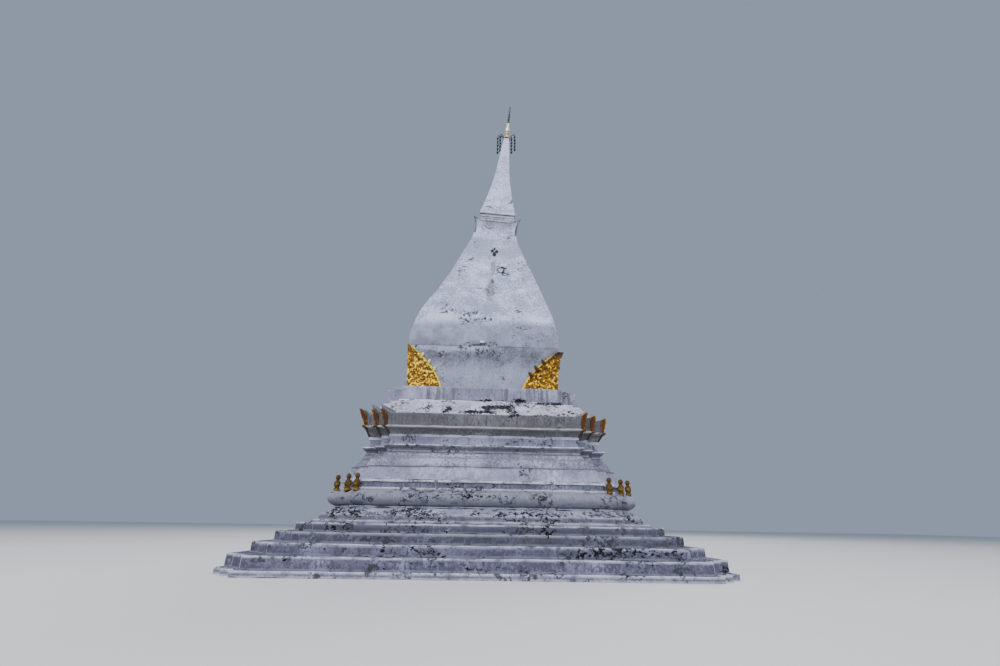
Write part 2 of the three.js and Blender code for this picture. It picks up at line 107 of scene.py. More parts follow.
def fan_faces(ring, centre, downwards):
    """Triangles from each edge of a ring to a centre point. The order of the corners sets where they face."""
    following = np.roll(ring, -1)
    hub = np.full_like(ring, centre)
    return np.stack([following, ring, hub] if downwards else [ring, following, hub], axis=-1)


def closed_skin(rings):
    """Vertices, quads and triangles of a solid: the rings' skin and a fan over each end ring's middle."""
    levels, points = rings.shape[:2]
    hubs = rings[[0, -1]].mean(axis=1)
    vertices = np.concatenate([rings.reshape(-1, 3), hubs])
    foot = fan_faces(np.arange(points), levels * points, True)
    head = fan_faces((levels - 1) * points + np.arange(points), levels * points + 1, False)
    return vertices, skin_faces(levels, points), np.concatenate([foot, head])


def joined_skins(skins):
    """Several solids in one mesh: the faces of each are counted on from the vertices before it."""
    starts = np.cumsum([0] + [len(skin[0]) for skin in skins[:-1]])
    quads, triangles = (np.concatenate([skin[part] + start for skin, start in zip(skins, starts)]) for part in (1, 2))
    return np.concatenate([skin[0] for skin in skins]), quads, triangles


def mask_rows(shape, *masks):
    """A row of four masks for each vertex of a closed skin, from arrays or numbers that spread over its rings.
    Missing masks are 0, and so are all four at the two hub points of the end caps."""
    columns = [np.broadcast_to(mask, shape) for mask in masks + (0.0,) * (4 - len(masks))]
    return np.concatenate([np.stack(columns, axis=-1).reshape(-1, 4), np.zeros((2, 4))])


print("skins ready")


def piece(name, skin, material, nodes, masks=None, wear=None):
    """A mesh object from vertices, quads and triangles, which rides on the root and replaces its CAD nodes.

    masks and wear are one row of four numbers a vertex, kept as the colour attributes "weather" and "wear".
    """
    vertices, quads, triangles = skin
    mesh = bpy.data.meshes.new(name)
    mesh.vertices.add(len(vertices))
    mesh.vertices.foreach_set("co", vertices.astype(np.float32).ravel())
    corners = np.concatenate([quads.ravel(), triangles.ravel()]).astype(np.int32)
    starts = np.concatenate([np.arange(len(quads)) * 4, len(quads) * 4 + np.arange(len(triangles)) * 3])
    mesh.loops.add(len(corners))
    mesh.loops.foreach_set("vertex_index", corners)
    mesh.polygons.add(len(starts))
    mesh.polygons.foreach_set("loop_start", starts.astype(np.int32))
    mesh.update(calc_edges=True)
    mesh.polygons.foreach_set("use_smooth", np.ones(len(starts), bool))
    for label, values in (("weather", masks), ("wear", wear)):
        if values is not None:
            attribute = mesh.attributes.new(label, "FLOAT_COLOR", "POINT")
            attribute.data.foreach_set("color", unit(values).astype(np.float32).ravel())
    mesh.materials.append(material)
    mesh.validate()
    item = in_scene(name, mesh)
    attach(item, "root")
    if nodes:
        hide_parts(*nodes)


# %% [markdown]
# ## Unevenness
#
# Nothing on the real tower is straight: the courses were laid and plastered by eye and repaired many times.
# A smooth random field gives that unevenness. It is worked out from each point's own place, so two pieces
# that touch are bent the same way and stay together.

# %% Random fields
def lumps(points, size, seed):
    """Smooth noise from -1 to 1. Every corner of a lattice of cubes gets a random number from the sine of its
    place, and a point takes the mean of its cube's eight corners, weighted by how near it is to each."""
    place = points / size
    cell = np.floor(place)
    inside = place - cell
    inside = inside * inside * (3 - 2 * inside)
    total = np.zeros(points.shape[:-1])
    for corner in itertools.product((0, 1), repeat=3):
        lattice = (cell + corner) @ np.array([127.1, 311.7, 74.7]) + seed * 17.13
        value = np.sin(lattice) * 43758.5453
        value -= np.floor(value)
        total += value * np.prod(np.where(corner, inside, 1 - inside), axis=-1)
    return total * 2 - 1


def hand_laid(points):
    """Courses laid by eye: every point is shifted up to 14 mm by slow noise, and by nothing at the ground."""
    held = unit(points[..., 2] / 0.4)[..., None]
    shift = np.stack([lumps(points, 1.9, seed) for seed in (1, 2, 3)], axis=-1) * np.array([0.006, 0.006, 0.010])
    shift[..., 2] += 0.004 * lumps(points, 0.5, 4)
    laid = points + shift * held
    laid[..., 2] = np.maximum(laid[..., 2], 0.0)
    return laid


print("noise at the origin", round(float(lumps(np.zeros((1, 3)), 1.0, 1)[0]), 3))

# %% Normals and soft spots
def outward_normals(rings):
    """Unit normals of a skin: the step round the ring crossed with the step up."""
    along = np.roll(rings, -1, axis=1) - np.roll(rings, 1, axis=1)
    normals = np.cross(along, np.gradient(rings, axis=0))
    return normals / np.maximum(np.linalg.norm(normals, axis=-1, keepdims=True), 1e-9)


def bell(distance):
    """1 in the middle, falling off with the square of the distance as the bell curve does."""
    return np.exp(-(distance ** 2))


def clouds(rings, spots):
    """The sum of soft spots on the front. Rows are strength, x, z and reaches along both: a spot falls off with the
    square of the distance in reaches."""
    x, z = rings[..., :1], rings[..., 2:]
    strength, spot_x, spot_z, reach_x, reach_z = np.array(spots).T
    near = ((x - spot_x) / reach_x) ** 2 + ((z - spot_z) / reach_z) ** 2
    return (strength * np.exp(-near)).sum(axis=-1) * (rings[..., 1] < 0)


print("normals and soft spots ready")

# %% [markdown]
# ## Helpers for materials
#
# Every finish is built from noise on the object's own coordinates, so it stays in place from any side. The
# effects that several finishes share are node groups with named sockets. A group only gives out masks,
# colours and heights, and each material keeps its own shader and mixes them with its own strengths. New nodes
# go into the tree on the bench, and a wire between them can be added and multiplied like a number.

# %% Wires between nodes
BENCH = {"tree": None}
EVEN = (1.0, 1.0, 1.0)


class Wire:
    """An output of a node. Each operator adds a Math node that works out the sum, difference or product."""

    def __init__(self, socket):
        self.socket = socket

    def __add__(self, other):
        return calculate("ADD", self, other)

    def __sub__(self, other):
        return calculate("SUBTRACT", self, other)

    def __rsub__(self, other):
        return calculate("SUBTRACT", other, self)

    def __mul__(self, other):
        return calculate("MULTIPLY", self, other)


class Outputs:
    """The outputs of a node as wires, by their name or number."""

    def __init__(self, node):
        self.node = node

    def __getitem__(self, key):
        return Wire(self.node.outputs[key])


def connect(node, inputs):
    """A wire is linked to its input, and any other value is set on the input itself. Colours are opaque."""
    for key, value in inputs.items():
        socket = node.inputs[key]
        if isinstance(value, Wire):
            BENCH["tree"].links.new(value.socket, socket)
        else:
            socket.default_value = (*value, 1.0) if socket.type == "RGBA" else value


def add(kind, inputs=None, **settings):
    """The outputs of a new node on the bench."""
    made = BENCH["tree"].nodes.new(kind)
    for key, value in settings.items():
        setattr(made, key, value)
    connect(made, inputs or {})
    return Outputs(made)


def calculate(operation, a, b=0.0):
    """The result of a Math node."""
    return add("ShaderNodeMath", {0: a, 1: b}, operation=operation)[0]


print("wires ready")

# %% Masks and textures
def fade(value, low, high):
    """0 below low, 1 above high, and a soft step between them."""
    inputs = {"Value": value, "From Min": low, "From Max": high}
    return add("ShaderNodeMapRange", inputs, interpolation_type="SMOOTHSTEP")["Result"]


def blend(factor, a, b):
    """Colour a goes over to colour b by the factor."""
    return add("ShaderNodeMix", {0: factor, 6: a, 7: b}, data_type="RGBA")[2]


def stretched(scale=EVEN, location=(0.0, 0.0, 0.0)):
    """Object coordinates, moved and scaled for a texture."""
    inputs = {"Vector": add("ShaderNodeTexCoord")["Object"], "Scale": scale, "Location": location}
    return add("ShaderNodeMapping", inputs)["Vector"]


def noise(stretch, scale, detail=4.0, roughness=0.55, distortion=0.0, at=(0.0, 0.0, 0.0)):
    """The value of a Noise Texture on stretched and moved object coordinates."""
    inputs = {"Vector": stretched(stretch, at), "Scale": scale, "Detail": detail, "Roughness": roughness,
              "Distortion": distortion}
    return add("ShaderNodeTexNoise", inputs)["Fac"]


def bumped(height, strength, distance):
    """The normal of a surface with this height."""
    return add("ShaderNodeBump", {"Height": height, "Strength": strength, "Distance": distance})["Normal"]


def vertex_masks(label):
    """The four masks of a colour attribute as wires."""
    attribute = add("ShaderNodeAttribute", attribute_name=label)
    parts = add("ShaderNodeSeparateColor", {"Color": attribute["Color"]})
    return {key: parts[key] for key in ("Red", "Green", "Blue")} | {"Alpha": attribute["Alpha"]}


print("masks and textures ready")

# %% Groups and materials
def new_group(name, inputs, *outputs):
    """A node group on the bench: its tree, its inputs as wires, and the node that takes its results."""
    tree = BENCH["tree"] = bpy.data.node_groups.new(name, "ShaderNodeTree")
    for label, default in inputs.items():
        size = 1 if isinstance(default, float) else len(default)
        kind = {1: "NodeSocketFloat", 3: "NodeSocketVector", 4: "NodeSocketColor"}[size]
        tree.interface.new_socket(label, in_out="INPUT", socket_type=kind).default_value = default
    for label in outputs:
        kind = "NodeSocketColor" if label == "Color" else "NodeSocketFloat"
        tree.interface.new_socket(label, in_out="OUTPUT", socket_type=kind)
    print("group", name, "in", list(inputs), "out", list(outputs))
    return tree, Outputs(tree.nodes.new("NodeGroupInput")), tree.nodes.new("NodeGroupOutput")


def use(group, inputs):
    """The outputs of a group placed in a material."""
    made = BENCH["tree"].nodes.new("ShaderNodeGroup")
    made.node_tree = group
    connect(made, inputs)
    return Outputs(made)


def new_material(name):
    """A material on the bench, and its shader."""
    material = bpy.data.materials.new(name)
    material.use_nodes = True
    BENCH["tree"] = material.node_tree
    print("material", name)
    return material, material.node_tree.nodes["Principled BSDF"]


print("groups and materials ready")

# %% [markdown]
# ## Effects on limewashed plaster
#
# Up close the wash is a patchwork of brushed coats, some fresh and white, some old and grey. Rain leaves long
# upright streaks, black mould grows in ragged blotches where water lies, and small pits fill with dirt.
# Each effect is its own group, so that the walls, the slope and the bud can have more or less of it.

# %% Coats of wash
coats, given, result = new_group(
    "coats_of_wash", {"Fresh": (0.6, 0.6, 0.6, 1.0), "Old": (0.3, 0.3, 0.3, 1.0), "Share of old": 0.5},
    "Color", "Height")
broad = noise((0.55, 0.55, 0.8), 1.0, 5.0, 0.6, 0.6)
brushed = noise((2.2, 2.2, 1.3), 1.0, 8.0, 0.65, 0.4, at=(3.0, 1.0, 7.0))
grain = noise((17.0, 17.0, 17.0), 1.0, 6.0, 0.7)
patchwork = brushed * 0.4 + broad * 0.4 + grain * 0.2
threshold = 0.6 - given["Share of old"] * 0.3
gone_grey = fade(patchwork, threshold - 0.1, threshold + 0.1)
connect(result, {"Color": blend(gone_grey, given["Fresh"], given["Old"]), "Height": brushed * 0.7 + grain * 0.3})

# %% Rain streaks
streaks, given, result = new_group("rain_streaks", {"Closeness": 6.0, "Amount": 0.5}, "Mask")
runs = noise((1.0, 1.0, 0.07), given["Closeness"], 5.0, 0.6, 0.25)
broken = noise((0.9, 0.9, 0.5), 1.0, 4.0, at=(9.0, 2.0, 4.0))
connect(result, {"Mask": fade(runs + (broken - 0.5) * 0.6, 0.5, 0.68) * given["Amount"]})

# %% Black mould
mould, given, result = new_group("black_mould", {"Density": 0.0, "Fineness": 3.0}, "Mask")
colonies = noise((0.9, 0.9, 1.6), 1.0, 3.0, at=(5.0, 8.0, 1.0))
ragged = noise((1.0, 1.0, 1.7), given["Fineness"], 10.0, 0.62, 0.7)
level = 0.71 - given["Density"] * 0.30
connect(result, {"Mask": fade(colonies * 0.45 + ragged * 0.55, level, level + 0.02)})

# %% Pits
pits, given, result = new_group("dirty_pits", {"Closeness": 7.0, "Size": 0.1}, "Mask")
cells = add("ShaderNodeTexVoronoi", {"Vector": stretched(), "Scale": given["Closeness"]})
chosen = fade(noise(EVEN, 1.3, 2.0), 0.5, 0.62)
radius = given["Size"] * chosen * noise(EVEN, 23.0, 2.0)
connect(result, {"Mask": calculate("LESS_THAN", cells["Distance"], radius)})

# %% Grey film
film, given, result = new_group("grey_film", {"Cover": 0.5}, "Mask")
specks = noise((1.0, 1.0, 0.75), 19.0, 6.0, 0.75, at=(2.0, 6.0, 3.0))
spread_out = noise(EVEN, 1.6, 5.0, 0.62, 0.5, at=(7.0, 1.0, 2.0))
level = 0.61 - given["Cover"] * 0.22
connect(result, {"Mask": fade(specks * 0.65 + spread_out * 0.35, level - 0.04, level + 0.04)})

# %% Flaked coats
flakes, given, result = new_group("flaked_coats", {"Amount": 0.5}, "Mask")
lost = noise((1.0, 1.0, 1.15), 4.5, 5.0, 0.66, 0.6, at=(1.0, 9.0, 5.0))
crumbled = fade(noise(EVEN, 11.0, 3.0, 0.6, at=(3.0, 3.0, 8.0)), 0.49, 0.54)
rim = fade(calculate("ABSOLUTE", lost - 0.5), 0.080, 0.045) * crumbled
cells = add("ShaderNodeTexVoronoi", {"Vector": stretched((1.0, 1.0, 0.8)), "Scale": 6.5})
kinds = add("ShaderNodeSeparateColor", {"Color": cells["Color"]})
dot = calculate("LESS_THAN", cells["Distance"], kinds["Red"] * 0.50 - 0.16)
level = 0.74 - given["Amount"] * 0.34
clustered = fade(noise((1.0, 1.0, 1.4), 1.5, 3.0, 0.6, at=(6.0, 5.0, 4.0)), level, level + 0.06)
connect(result, {"Mask": calculate("MAXIMUM", rim, dot) * clustered})

# %% A patch with ragged edges
patch, given, result = new_group(
    "ragged_patch", {"Centre": (0.0, 0.0, 0.0), "Size": EVEN, "Raggedness": 0.6, "Open middle": 0.0}, "Mask")
here = add("ShaderNodeTexCoord")["Object"]
away = add("ShaderNodeVectorMath", {0: here, 1: given["Centre"]}, operation="SUBTRACT")[0]
away = add("ShaderNodeVectorMath", {0: away, 1: given["Size"]}, operation="DIVIDE")[0]
reach = add("ShaderNodeVectorMath", {0: away}, operation="LENGTH")["Value"]
reach = reach + (noise(EVEN, 9.0, 6.0, 0.7) - 0.5) * given["Raggedness"] * 6.0
outside = fade(reach, given["Open middle"] - 0.15, given["Open middle"])
connect(result, {"Mask": fade(reach, 1.15, 0.75) * outside})

# %% [markdown]
# ## Limewash
#
# The wash is a rough, chalky, slightly blue white. The mesh carries four masks in its "weather" attribute:
# how thick the mould may grow, how much painted shade, with some soot, darkens a place that faces down or lies in
# shade, where an edge has been rubbed pale, and where damp has turned it green. Its "wear" attribute says how
# flaked, filmed over and streaked it is. The material breaks each of them up with noise and lays them over the
# coats one after the other.

# %% Limewash material
# The dark tone of painted shade and soot. Flaked coats and pits take it too.
SHADE_AND_SOOT, MOULD, ALGAE = (0.050, 0.050, 0.060), (0.006, 0.006, 0.008), (0.055, 0.070, 0.035)
STREAK_CLOSENESS, STREAK_TONES = 12.0, (0.33, 0.32, 0.30)


def limewash(name, fresh, aged, pale, old=0.5, streaking=0.5, mould_scale=11.0, pit=0.12, film_tone=0.55, surface_marks=()):
    """A limewash material from the colours of its fresh coats, its aged coats and its rubbed edges. The surface
    marks are stains, and on the bud a painted highlight and shadow; each is a centre, a size, a colour, a strength,
    a raggedness and how open its middle is."""
    material, shader = new_material(name)
    masks, wear = vertex_masks("weather"), vertex_masks("wear")
    washed = use(coats, {"Fresh": fresh, "Old": aged, "Share of old": old})
    grey = use(film, {"Cover": wear["Green"]})["Mask"]
    run = use(streaks, {"Closeness": STREAK_CLOSENESS, "Amount": wear["Blue"] + streaking})["Mask"]
    black = use(mould, {"Density": masks["Red"], "Fineness": mould_scale})["Mask"]
    flaked = use(flakes, {"Amount": wear["Red"]})["Mask"]
    hole = use(pits, {"Size": pit})["Mask"]
    uneven = noise(EVEN, 3.1, 6.0, 0.6)
    patchy = fade(uneven, 0.36, 0.62)
    # The green mask lays painted shade, with some soot, in that dark tone.
    layers = [(grey * 0.85, [part * film_tone for part in aged]),
              (run, [part * tone for part, tone in zip(fresh, STREAK_TONES)]),
              (masks["Blue"] * fade(uneven, 0.30, 0.55), pale), (masks["Green"] * (patchy * 0.22 + 0.76), SHADE_AND_SOOT),
              (masks["Alpha"] * patchy, ALGAE), (black * 0.98, MOULD), (flaked * 0.92, SHADE_AND_SOOT), (hole * 0.8, SHADE_AND_SOOT)]
    for centre, size, tint, strength, raggedness, middle in surface_marks:
        mark = use(patch, {"Centre": centre, "Size": size, "Raggedness": raggedness, "Open middle": middle})["Mask"]
        layers.append((mark * strength, tint))
    colour = washed["Color"]
    for cover, tint in layers:
        colour = blend(cover, colour, tint)
    relief = washed["Height"] - calculate("MAXIMUM", hole, flaked) * 0.6
    connect(shader, {"Base Color": colour, "Roughness": uneven * 0.2 + 0.78, "Normal": bumped(relief, 0.8, 0.02),
                     "Specular IOR Level": 0.2})
    return material


print("limewash ready")

# %% Five washes
GREY, DARK, LUMP_HIGHLIGHT = (0.13, 0.14, 0.17), (0.018, 0.019, 0.024), (0.74, 0.76, 0.86)
BUD_MARKS = [
    ((0.090, -1.12, 10.40), (0.062, 0.30, 0.095), DARK, 1.0, 0.10, 0.0),
    ((0.170, -1.12, 10.51), (0.050, 0.30, 0.085), DARK, 1.0, 0.10, 0.0),
    ((0.255, -1.10, 10.37), (0.066, 0.30, 0.100), DARK, 1.0, 0.10, 0.0),
    ((0.170, -1.10, 10.21), (0.075, 0.30, 0.125), DARK, 1.0, 0.10, 0.0),
    ((0.420, -1.40, 9.400), (0.190, 0.40, 0.200), DARK, 1.0, 0.40, 0.55),
    ((0.580, -1.40, 9.170), (0.150, 0.40, 0.100), DARK, 0.8, 0.40, 0.45),
    ((0.130, -1.40, 9.500), (0.095, 0.40, 0.360), GREY, 0.60, 0.30, 0.0),
    ((0.050, -1.75, 8.380), (0.160, 0.45, 0.560), GREY, 0.60, 0.35, 0.0),
    ((0.120, -1.65, 8.800), (0.060, 0.40, 0.110), DARK, 0.7, 0.20, 0.0),
    ((-0.090, -2.19, 7.080), (0.042, 0.40, 0.060), DARK, 0.95, 0.10, 0.0),
    ((0.100, -2.20, 7.050), (0.036, 0.40, 0.070), DARK, 0.9, 0.10, 0.0),
    ((-0.500, -0.98, 10.62), (0.170, 0.30, 0.120), GREY, 0.40, 0.40, 0.45),
    # The last two paint the highlight on top of a small lump just above the crease and its shadow below it.
    ((-0.160, -2.34, 6.210), (0.075, 0.20, 0.035), LUMP_HIGHLIGHT, 0.9, 0.15, 0.0),
    ((-0.140, -2.34, 6.130), (0.130, 0.20, 0.040), DARK, 0.55, 0.30, 0.0),
]
bud_wash = limewash("clean_limewash", (0.65, 0.70, 0.93), (0.505, 0.545, 0.755), (0.74, 0.78, 0.96), old=0.45,
                    streaking=0.15, pit=0.10, film_tone=0.50, surface_marks=BUD_MARKS)
wall_wash = limewash("weathered_limewash", (0.43, 0.438, 0.61), (0.215, 0.22, 0.315), (0.66, 0.68, 0.80), old=0.42,
                     streaking=0.45)
# A darker, greyer copy of the wash, which paints the shade that the rim courses stand in.
rim_wash = limewash("shaded_limewash", (0.38, 0.385, 0.43), (0.17, 0.172, 0.195), (0.70, 0.68, 0.68))
base_wash = limewash("old_limewash", (0.325, 0.328, 0.49), (0.13, 0.133, 0.20), (0.58, 0.59, 0.74), old=0.42)
slope_wash = limewash("mouldy_limewash", (0.56, 0.57, 0.71), (0.38, 0.39, 0.49), (0.70, 0.72, 0.86), old=0.4,
                      streaking=0.15, mould_scale=13.0, film_tone=0.6)

# %% [markdown]
# ## The stepped plan
#
# Seen from above, each corner of the base and the pedestal steps back twice, so that it shows three arrises.
# Every point of that outline moves outwards in proportion to the course's half-width, while the steps keep
# their depth. So a point is half-width times one direction, plus depth times another, and both directions
# are worked out once for a whole ring. The square bud is the same with no steps. Each arris is eased by
# pulling it towards its neighbours.

# %% Plan of a course
TURNS = np.array([[[1, 0], [0, 1]], [[0, -1], [1, 0]], [[-1, 0], [0, -1]], [[0, 1], [-1, 0]]])
BASE_DEPTH, TOP_DEPTH, PLINTH_DEPTH = 0.60, 0.70, 0.52


def stepped(middle):
    """The five steps of a quarter, for a middle arris that stands back by this share of the depth."""
    return [[0, -1], [-middle, -1], [-middle, -middle], [-1, -middle], [-1, 0]]


def corner_directions(steps):
    """Both directions at every corner of a ring: (1, 1) and the steps of one quarter, turned four times."""
    steps = np.array(steps, float)
    return [np.concatenate([part @ turn.T for turn in TURNS]) for part in (np.ones((len(steps), 2)), steps)]


def between_corners(values, side, share):
    """The value of a side's first corner goes over to that of its last corner by the share."""
    share = share[..., None]
    return values[side] * (1 - share) + values[(side + 1) % len(values)] * share


def divided(beside, count):
    """Shares along a side: evenly spaced, with a few more close beside each end."""
    even = np.linspace(0, 1, count + 1)[1:-1]
    return np.sort(np.concatenate([[0], beside, even, 1 - np.array(beside)]))


def plan(steps, face_points, beside):
    """The directions of a ring, with points between the corners. The last side of each quarter is a main face."""
    quarter = len(steps)
    main_face, small_side = divided(beside, face_points), divided((0.04, 0.1), 5)
    shares = [main_face if side % quarter == quarter - 1 else small_side for side in range(quarter * 4)]
    side = np.repeat(np.arange(quarter * 4), [len(share) for share in shares])
    share = np.concatenate(shares)
    arris = (share == 0) * np.where(side % quarter % 2 == 0, 1.0, -1.0)
    pull = np.abs(arris)[:, None] * 0.5
    rings = [between_corners(values, side, share) for values in corner_directions(steps)]
    spread, offset = (ring * (1 - pull) + pull * (np.roll(ring, 1, 0) + np.roll(ring, -1, 0)) / 2 for ring in rings)
    return {"spread": spread, "offset": offset, "side": side, "share": share, "arris": unit(arris)}


BESIDE = (0.002, 0.006, 0.012, 0.025)
BASE_PLAN, TOP_PLAN = plan(stepped(0.5), 44, BESIDE), plan(stepped(0.55), 44, BESIDE)
SQUARE_PLAN = plan([[0, 0]], 70, BESIDE[:2])
print("points in a ring", len(BASE_PLAN["side"]), "and", len(SQUARE_PLAN["side"]))

# %% [markdown]
# ## Profiles
#
# A course is drawn as its outline in section: pairs of half-width and height from its foot to its top. The
# edges of real plaster are never sharp, so each corner of the section is cut back a little on both sides
# before it is divided into short steps. Where a step turns outwards, the edge mask is set.

# %% Sections
EASING = 0.012


def section(points, step=0.035):
    """A section divided into short steps, and its edge mask. Each inner corner becomes three points: one a
    little before, one a little after, and one between them, drawn halfway back to the corner. The columns
    are half-width and height, and any others are carried along."""
    corners = np.array(points, float)
    before, here, after = corners[:-2], corners[1:-1], corners[2:]
    into, away = here - before, after - here
    long_in, long_out = (np.linalg.norm(part[:, :2], axis=1) for part in (into, away))
    cut = np.minimum(EASING, np.minimum(long_in, long_out) * 0.3)
    first = here - into * (cut / long_in)[:, None]
    last = here + away * (cut / long_out)[:, None]
    turn = (into[:, 0] * away[:, 1] - into[:, 1] * away[:, 0]) / (long_in * long_out)
    rounded = np.stack([first, (first + last) / 4 + here / 2, last], axis=1).reshape(-1, corners.shape[1])
    path = np.concatenate([corners[:1], rounded, corners[-1:]])
    mask = np.concatenate([[0], np.repeat(unit(turn * 2), 3), [0]])
    length = np.concatenate([[0], np.cumsum(np.linalg.norm(np.diff(path[:, :2], axis=0), axis=1))])
    at = np.unique(np.round(np.concatenate([length, np.arange(0, length[-1], step)]), 4))
    near = np.abs(at[:, None] - length[None]).min(axis=1)
    edge = np.interp(at, length, mask) * bell(near / 0.02)
    return np.stack([np.interp(at, length, column) for column in path.T], axis=1), edge[:, None]


def hollow(start, end, depth, steps=8):
    """Points from start to end that sink in from the straight line by as much as the depth in the middle."""
    t = np.linspace(0, 1, steps + 1)[:, None]
    line = np.array(start) * (1 - t) + np.array(end) * t
    line[:, 0] -= (depth * 4 * t * (1 - t))[:, 0]
    return line.tolist()


print("edges are eased by", EASING * 1000, "mm")

# %% Rings and weathering
def stepped_rings(levels, foot, head=None):
    """Rings of a course from rows of half-width and height: half-width times the spread plus the steps' depth times
    the offset. foot and head hold the depth, the plan and the shift, which change evenly in between."""
    half, height = levels[:, :2].T
    (low_depth, low_plan, low_shift), (high_depth, high_plan, high_shift) = foot, head or foot
    t = ((height - height.min()) / np.ptp(height))[:, None, None]
    spread, offset = (low_plan[key] * (1 - t) + high_plan[key] * t for key in ("spread", "offset"))
    flat = half[:, None, None] * spread + (low_depth * (1 - t) + high_depth * t) * offset
    flat[..., 0] += (low_shift * (1 - t) + high_shift * t)[..., 0]
    return np.concatenate([flat, np.broadcast_to(height[:, None, None], flat.shape[:2] + (1,))], axis=2)


def masonry(name, rings, edges, material, node=None, slot="limewash", mould=0.35, shade_and_soot_below=0.55, green=0.0, shade=0.0,
            flaked=0.6, filmed=0.5, streaked=0.0, spots=0.42, rubbed=0.9):
    """A roughened skin with two sets of masks. It moves in or out along its normals by two noises, and every edge
    loses bites where a third noise is high. Weather is mould on what faces up; painted shade with some soot on what
    faces down, a little on upright faces, and the shade mask's painted shade and dark dirt lines; rubbed edges; and
    green. Wear is how flaked, filmed over and streaked the coats are."""
    normals = outward_normals(rings)
    dents = 0.004 * lumps(rings, 0.55, 11) + 0.0024 * lumps(rings, 0.14, 12)
    bites = unit(lumps(rings, 0.19, 13) - 0.15) * 0.030 * edges
    rings = hand_laid(rings + normals * (dents - bites)[..., None])
    up, down, upright = unit(normals[..., 2]), unit(-normals[..., 2]), 1 - np.abs(normals[..., 2])
    weather = mask_rows(up.shape, mould * up + spots * upright, np.maximum(shade_and_soot_below * down ** 0.6, shade) + 0.06 * upright,
                        edges * rubbed, green * (0.25 * upright + down))
    wear = mask_rows(up.shape, flaked, filmed, streaked)
    piece(name + "_masonry", closed_skin(rings), material, [node or name], weather, wear)


print("rings and weathering ready")

# %% [markdown]
# ## Courses of the base and the pedestal
#
# From the ground up: six steps, a slab, a sloped slab with a fillet, a fat half-round roll, fillets, a sloping
# dado, two bands, a small cornice and the waist. Each is a separate course of plastered brick. The foot of
# a course sinks 12 mm into a wider one below it, and its head rises 12 mm into a wider one above it, so no
# crack opens where both are uneven.

# %% Table of the courses
ROLL_AT, ROLL_OUT, ROLL_FOOT, ROLL_TOP = 3.676, 0.200, 1.372, 1.737
roll_turn = np.linspace(-pi / 2, pi / 2, 13)
roll_outline = np.stack([ROLL_AT + ROLL_OUT * np.cos(roll_turn),
                         (ROLL_FOOT + ROLL_TOP) / 2 + (ROLL_TOP - ROLL_FOOT) / 2 * np.sin(roll_turn)], axis=1).tolist()
FOOT, BASE = (BASE_DEPTH, BASE_PLAN, base_wash), (BASE_DEPTH, BASE_PLAN, wall_wash)
TOP = (TOP_DEPTH, TOP_PLAN, wall_wash)
COURSES = [
    ("ground_step", [(5.432, 0.0), (5.432, 0.120)], FOOT, dict(mould=0.5)),
    ("base_step_lower", [(5.300, 0.120), (5.300, 0.370)], FOOT, dict(mould=0.5)),
    ("base_step_middle", [(4.980, 0.370), (4.980, 0.590)], FOOT, dict(mould=0.5)),
    ("base_step_upper", [(4.660, 0.590), (4.660, 0.800)], FOOT, dict(mould=0.5, shade=0.42)),
    ("ledge_step", [(4.350, 0.800), (4.350, 0.987)], FOOT, dict(mould=0.6, spots=0.5, filmed=0.9)),
    ("slab_foot_step", [(4.110, 0.987), (4.110, 1.050)], FOOT, dict(mould=0.5, filmed=1.0)),
    ("slab", [(3.990, 1.050), (3.970, 1.180)], FOOT, dict(mould=0.7, spots=0.5, streaked=0.9, shade=0.30)),
    ("sloped_slab", hollow((3.950, 1.180), (3.765, 1.332), 0.022), BASE, dict(mould=0.68, flaked=0.8, filmed=0.0)),
    ("roll_fillet", [(3.765, 1.332), (3.765, 1.372)], FOOT, dict(green=0.8, shade_and_soot_below=0.8)),
    ("roll", roll_outline, FOOT, dict(green=0.45, shade_and_soot_below=0.25, mould=0.5, spots=0.58, shade=0.38)),
    ("dado_fillets", [(3.650, 1.737), (3.650, 1.795), (3.592, 1.797), (3.584, 1.923), (3.648, 1.925), (3.640, 1.990)],
     BASE, dict(mould=0.45, shade_and_soot_below=0.8, shade=0.12)),
    ("sloping_dado", hollow((3.640, 1.990), (3.485, 2.335), 0.022), BASE,
     dict(mould=0.25, rubbed=0.2, flaked=0.30, filmed=0.15, spots=0.26, lined=1.0)),
    ("lower_band", [(3.460, 2.335), (3.362, 2.566)], TOP,
     dict(mould=0.3, rubbed=0.2, flaked=0.40, filmed=0.40, spots=0.30, lined=0.6)),
    ("upper_band", [(3.328, 2.566), (3.256, 2.712)], TOP,
     dict(mould=0.4, rubbed=0.2, flaked=0.4, spots=0.30, shade=0.08, lined=0.9)),
    ("lower_cornice", [(3.242, 2.712), (3.242, 2.768), (3.262, 2.776), (3.292, 2.810), (3.345, 2.868), (3.338, 2.890),
                       (3.290, 2.905)], TOP, dict(shade_and_soot_below=0.95, mould=0.5)),
    ("waist", hollow((3.215, 2.905), (3.205, 3.105), 0.022) + [(3.228, 3.108), (3.228, 3.167)], TOP,
     dict(shade_and_soot_below=0.10, filmed=0.1, spots=0.3, shade=0.08)),
]
FLARE_HALF = 3.222
print(len(COURSES), "courses in the table")

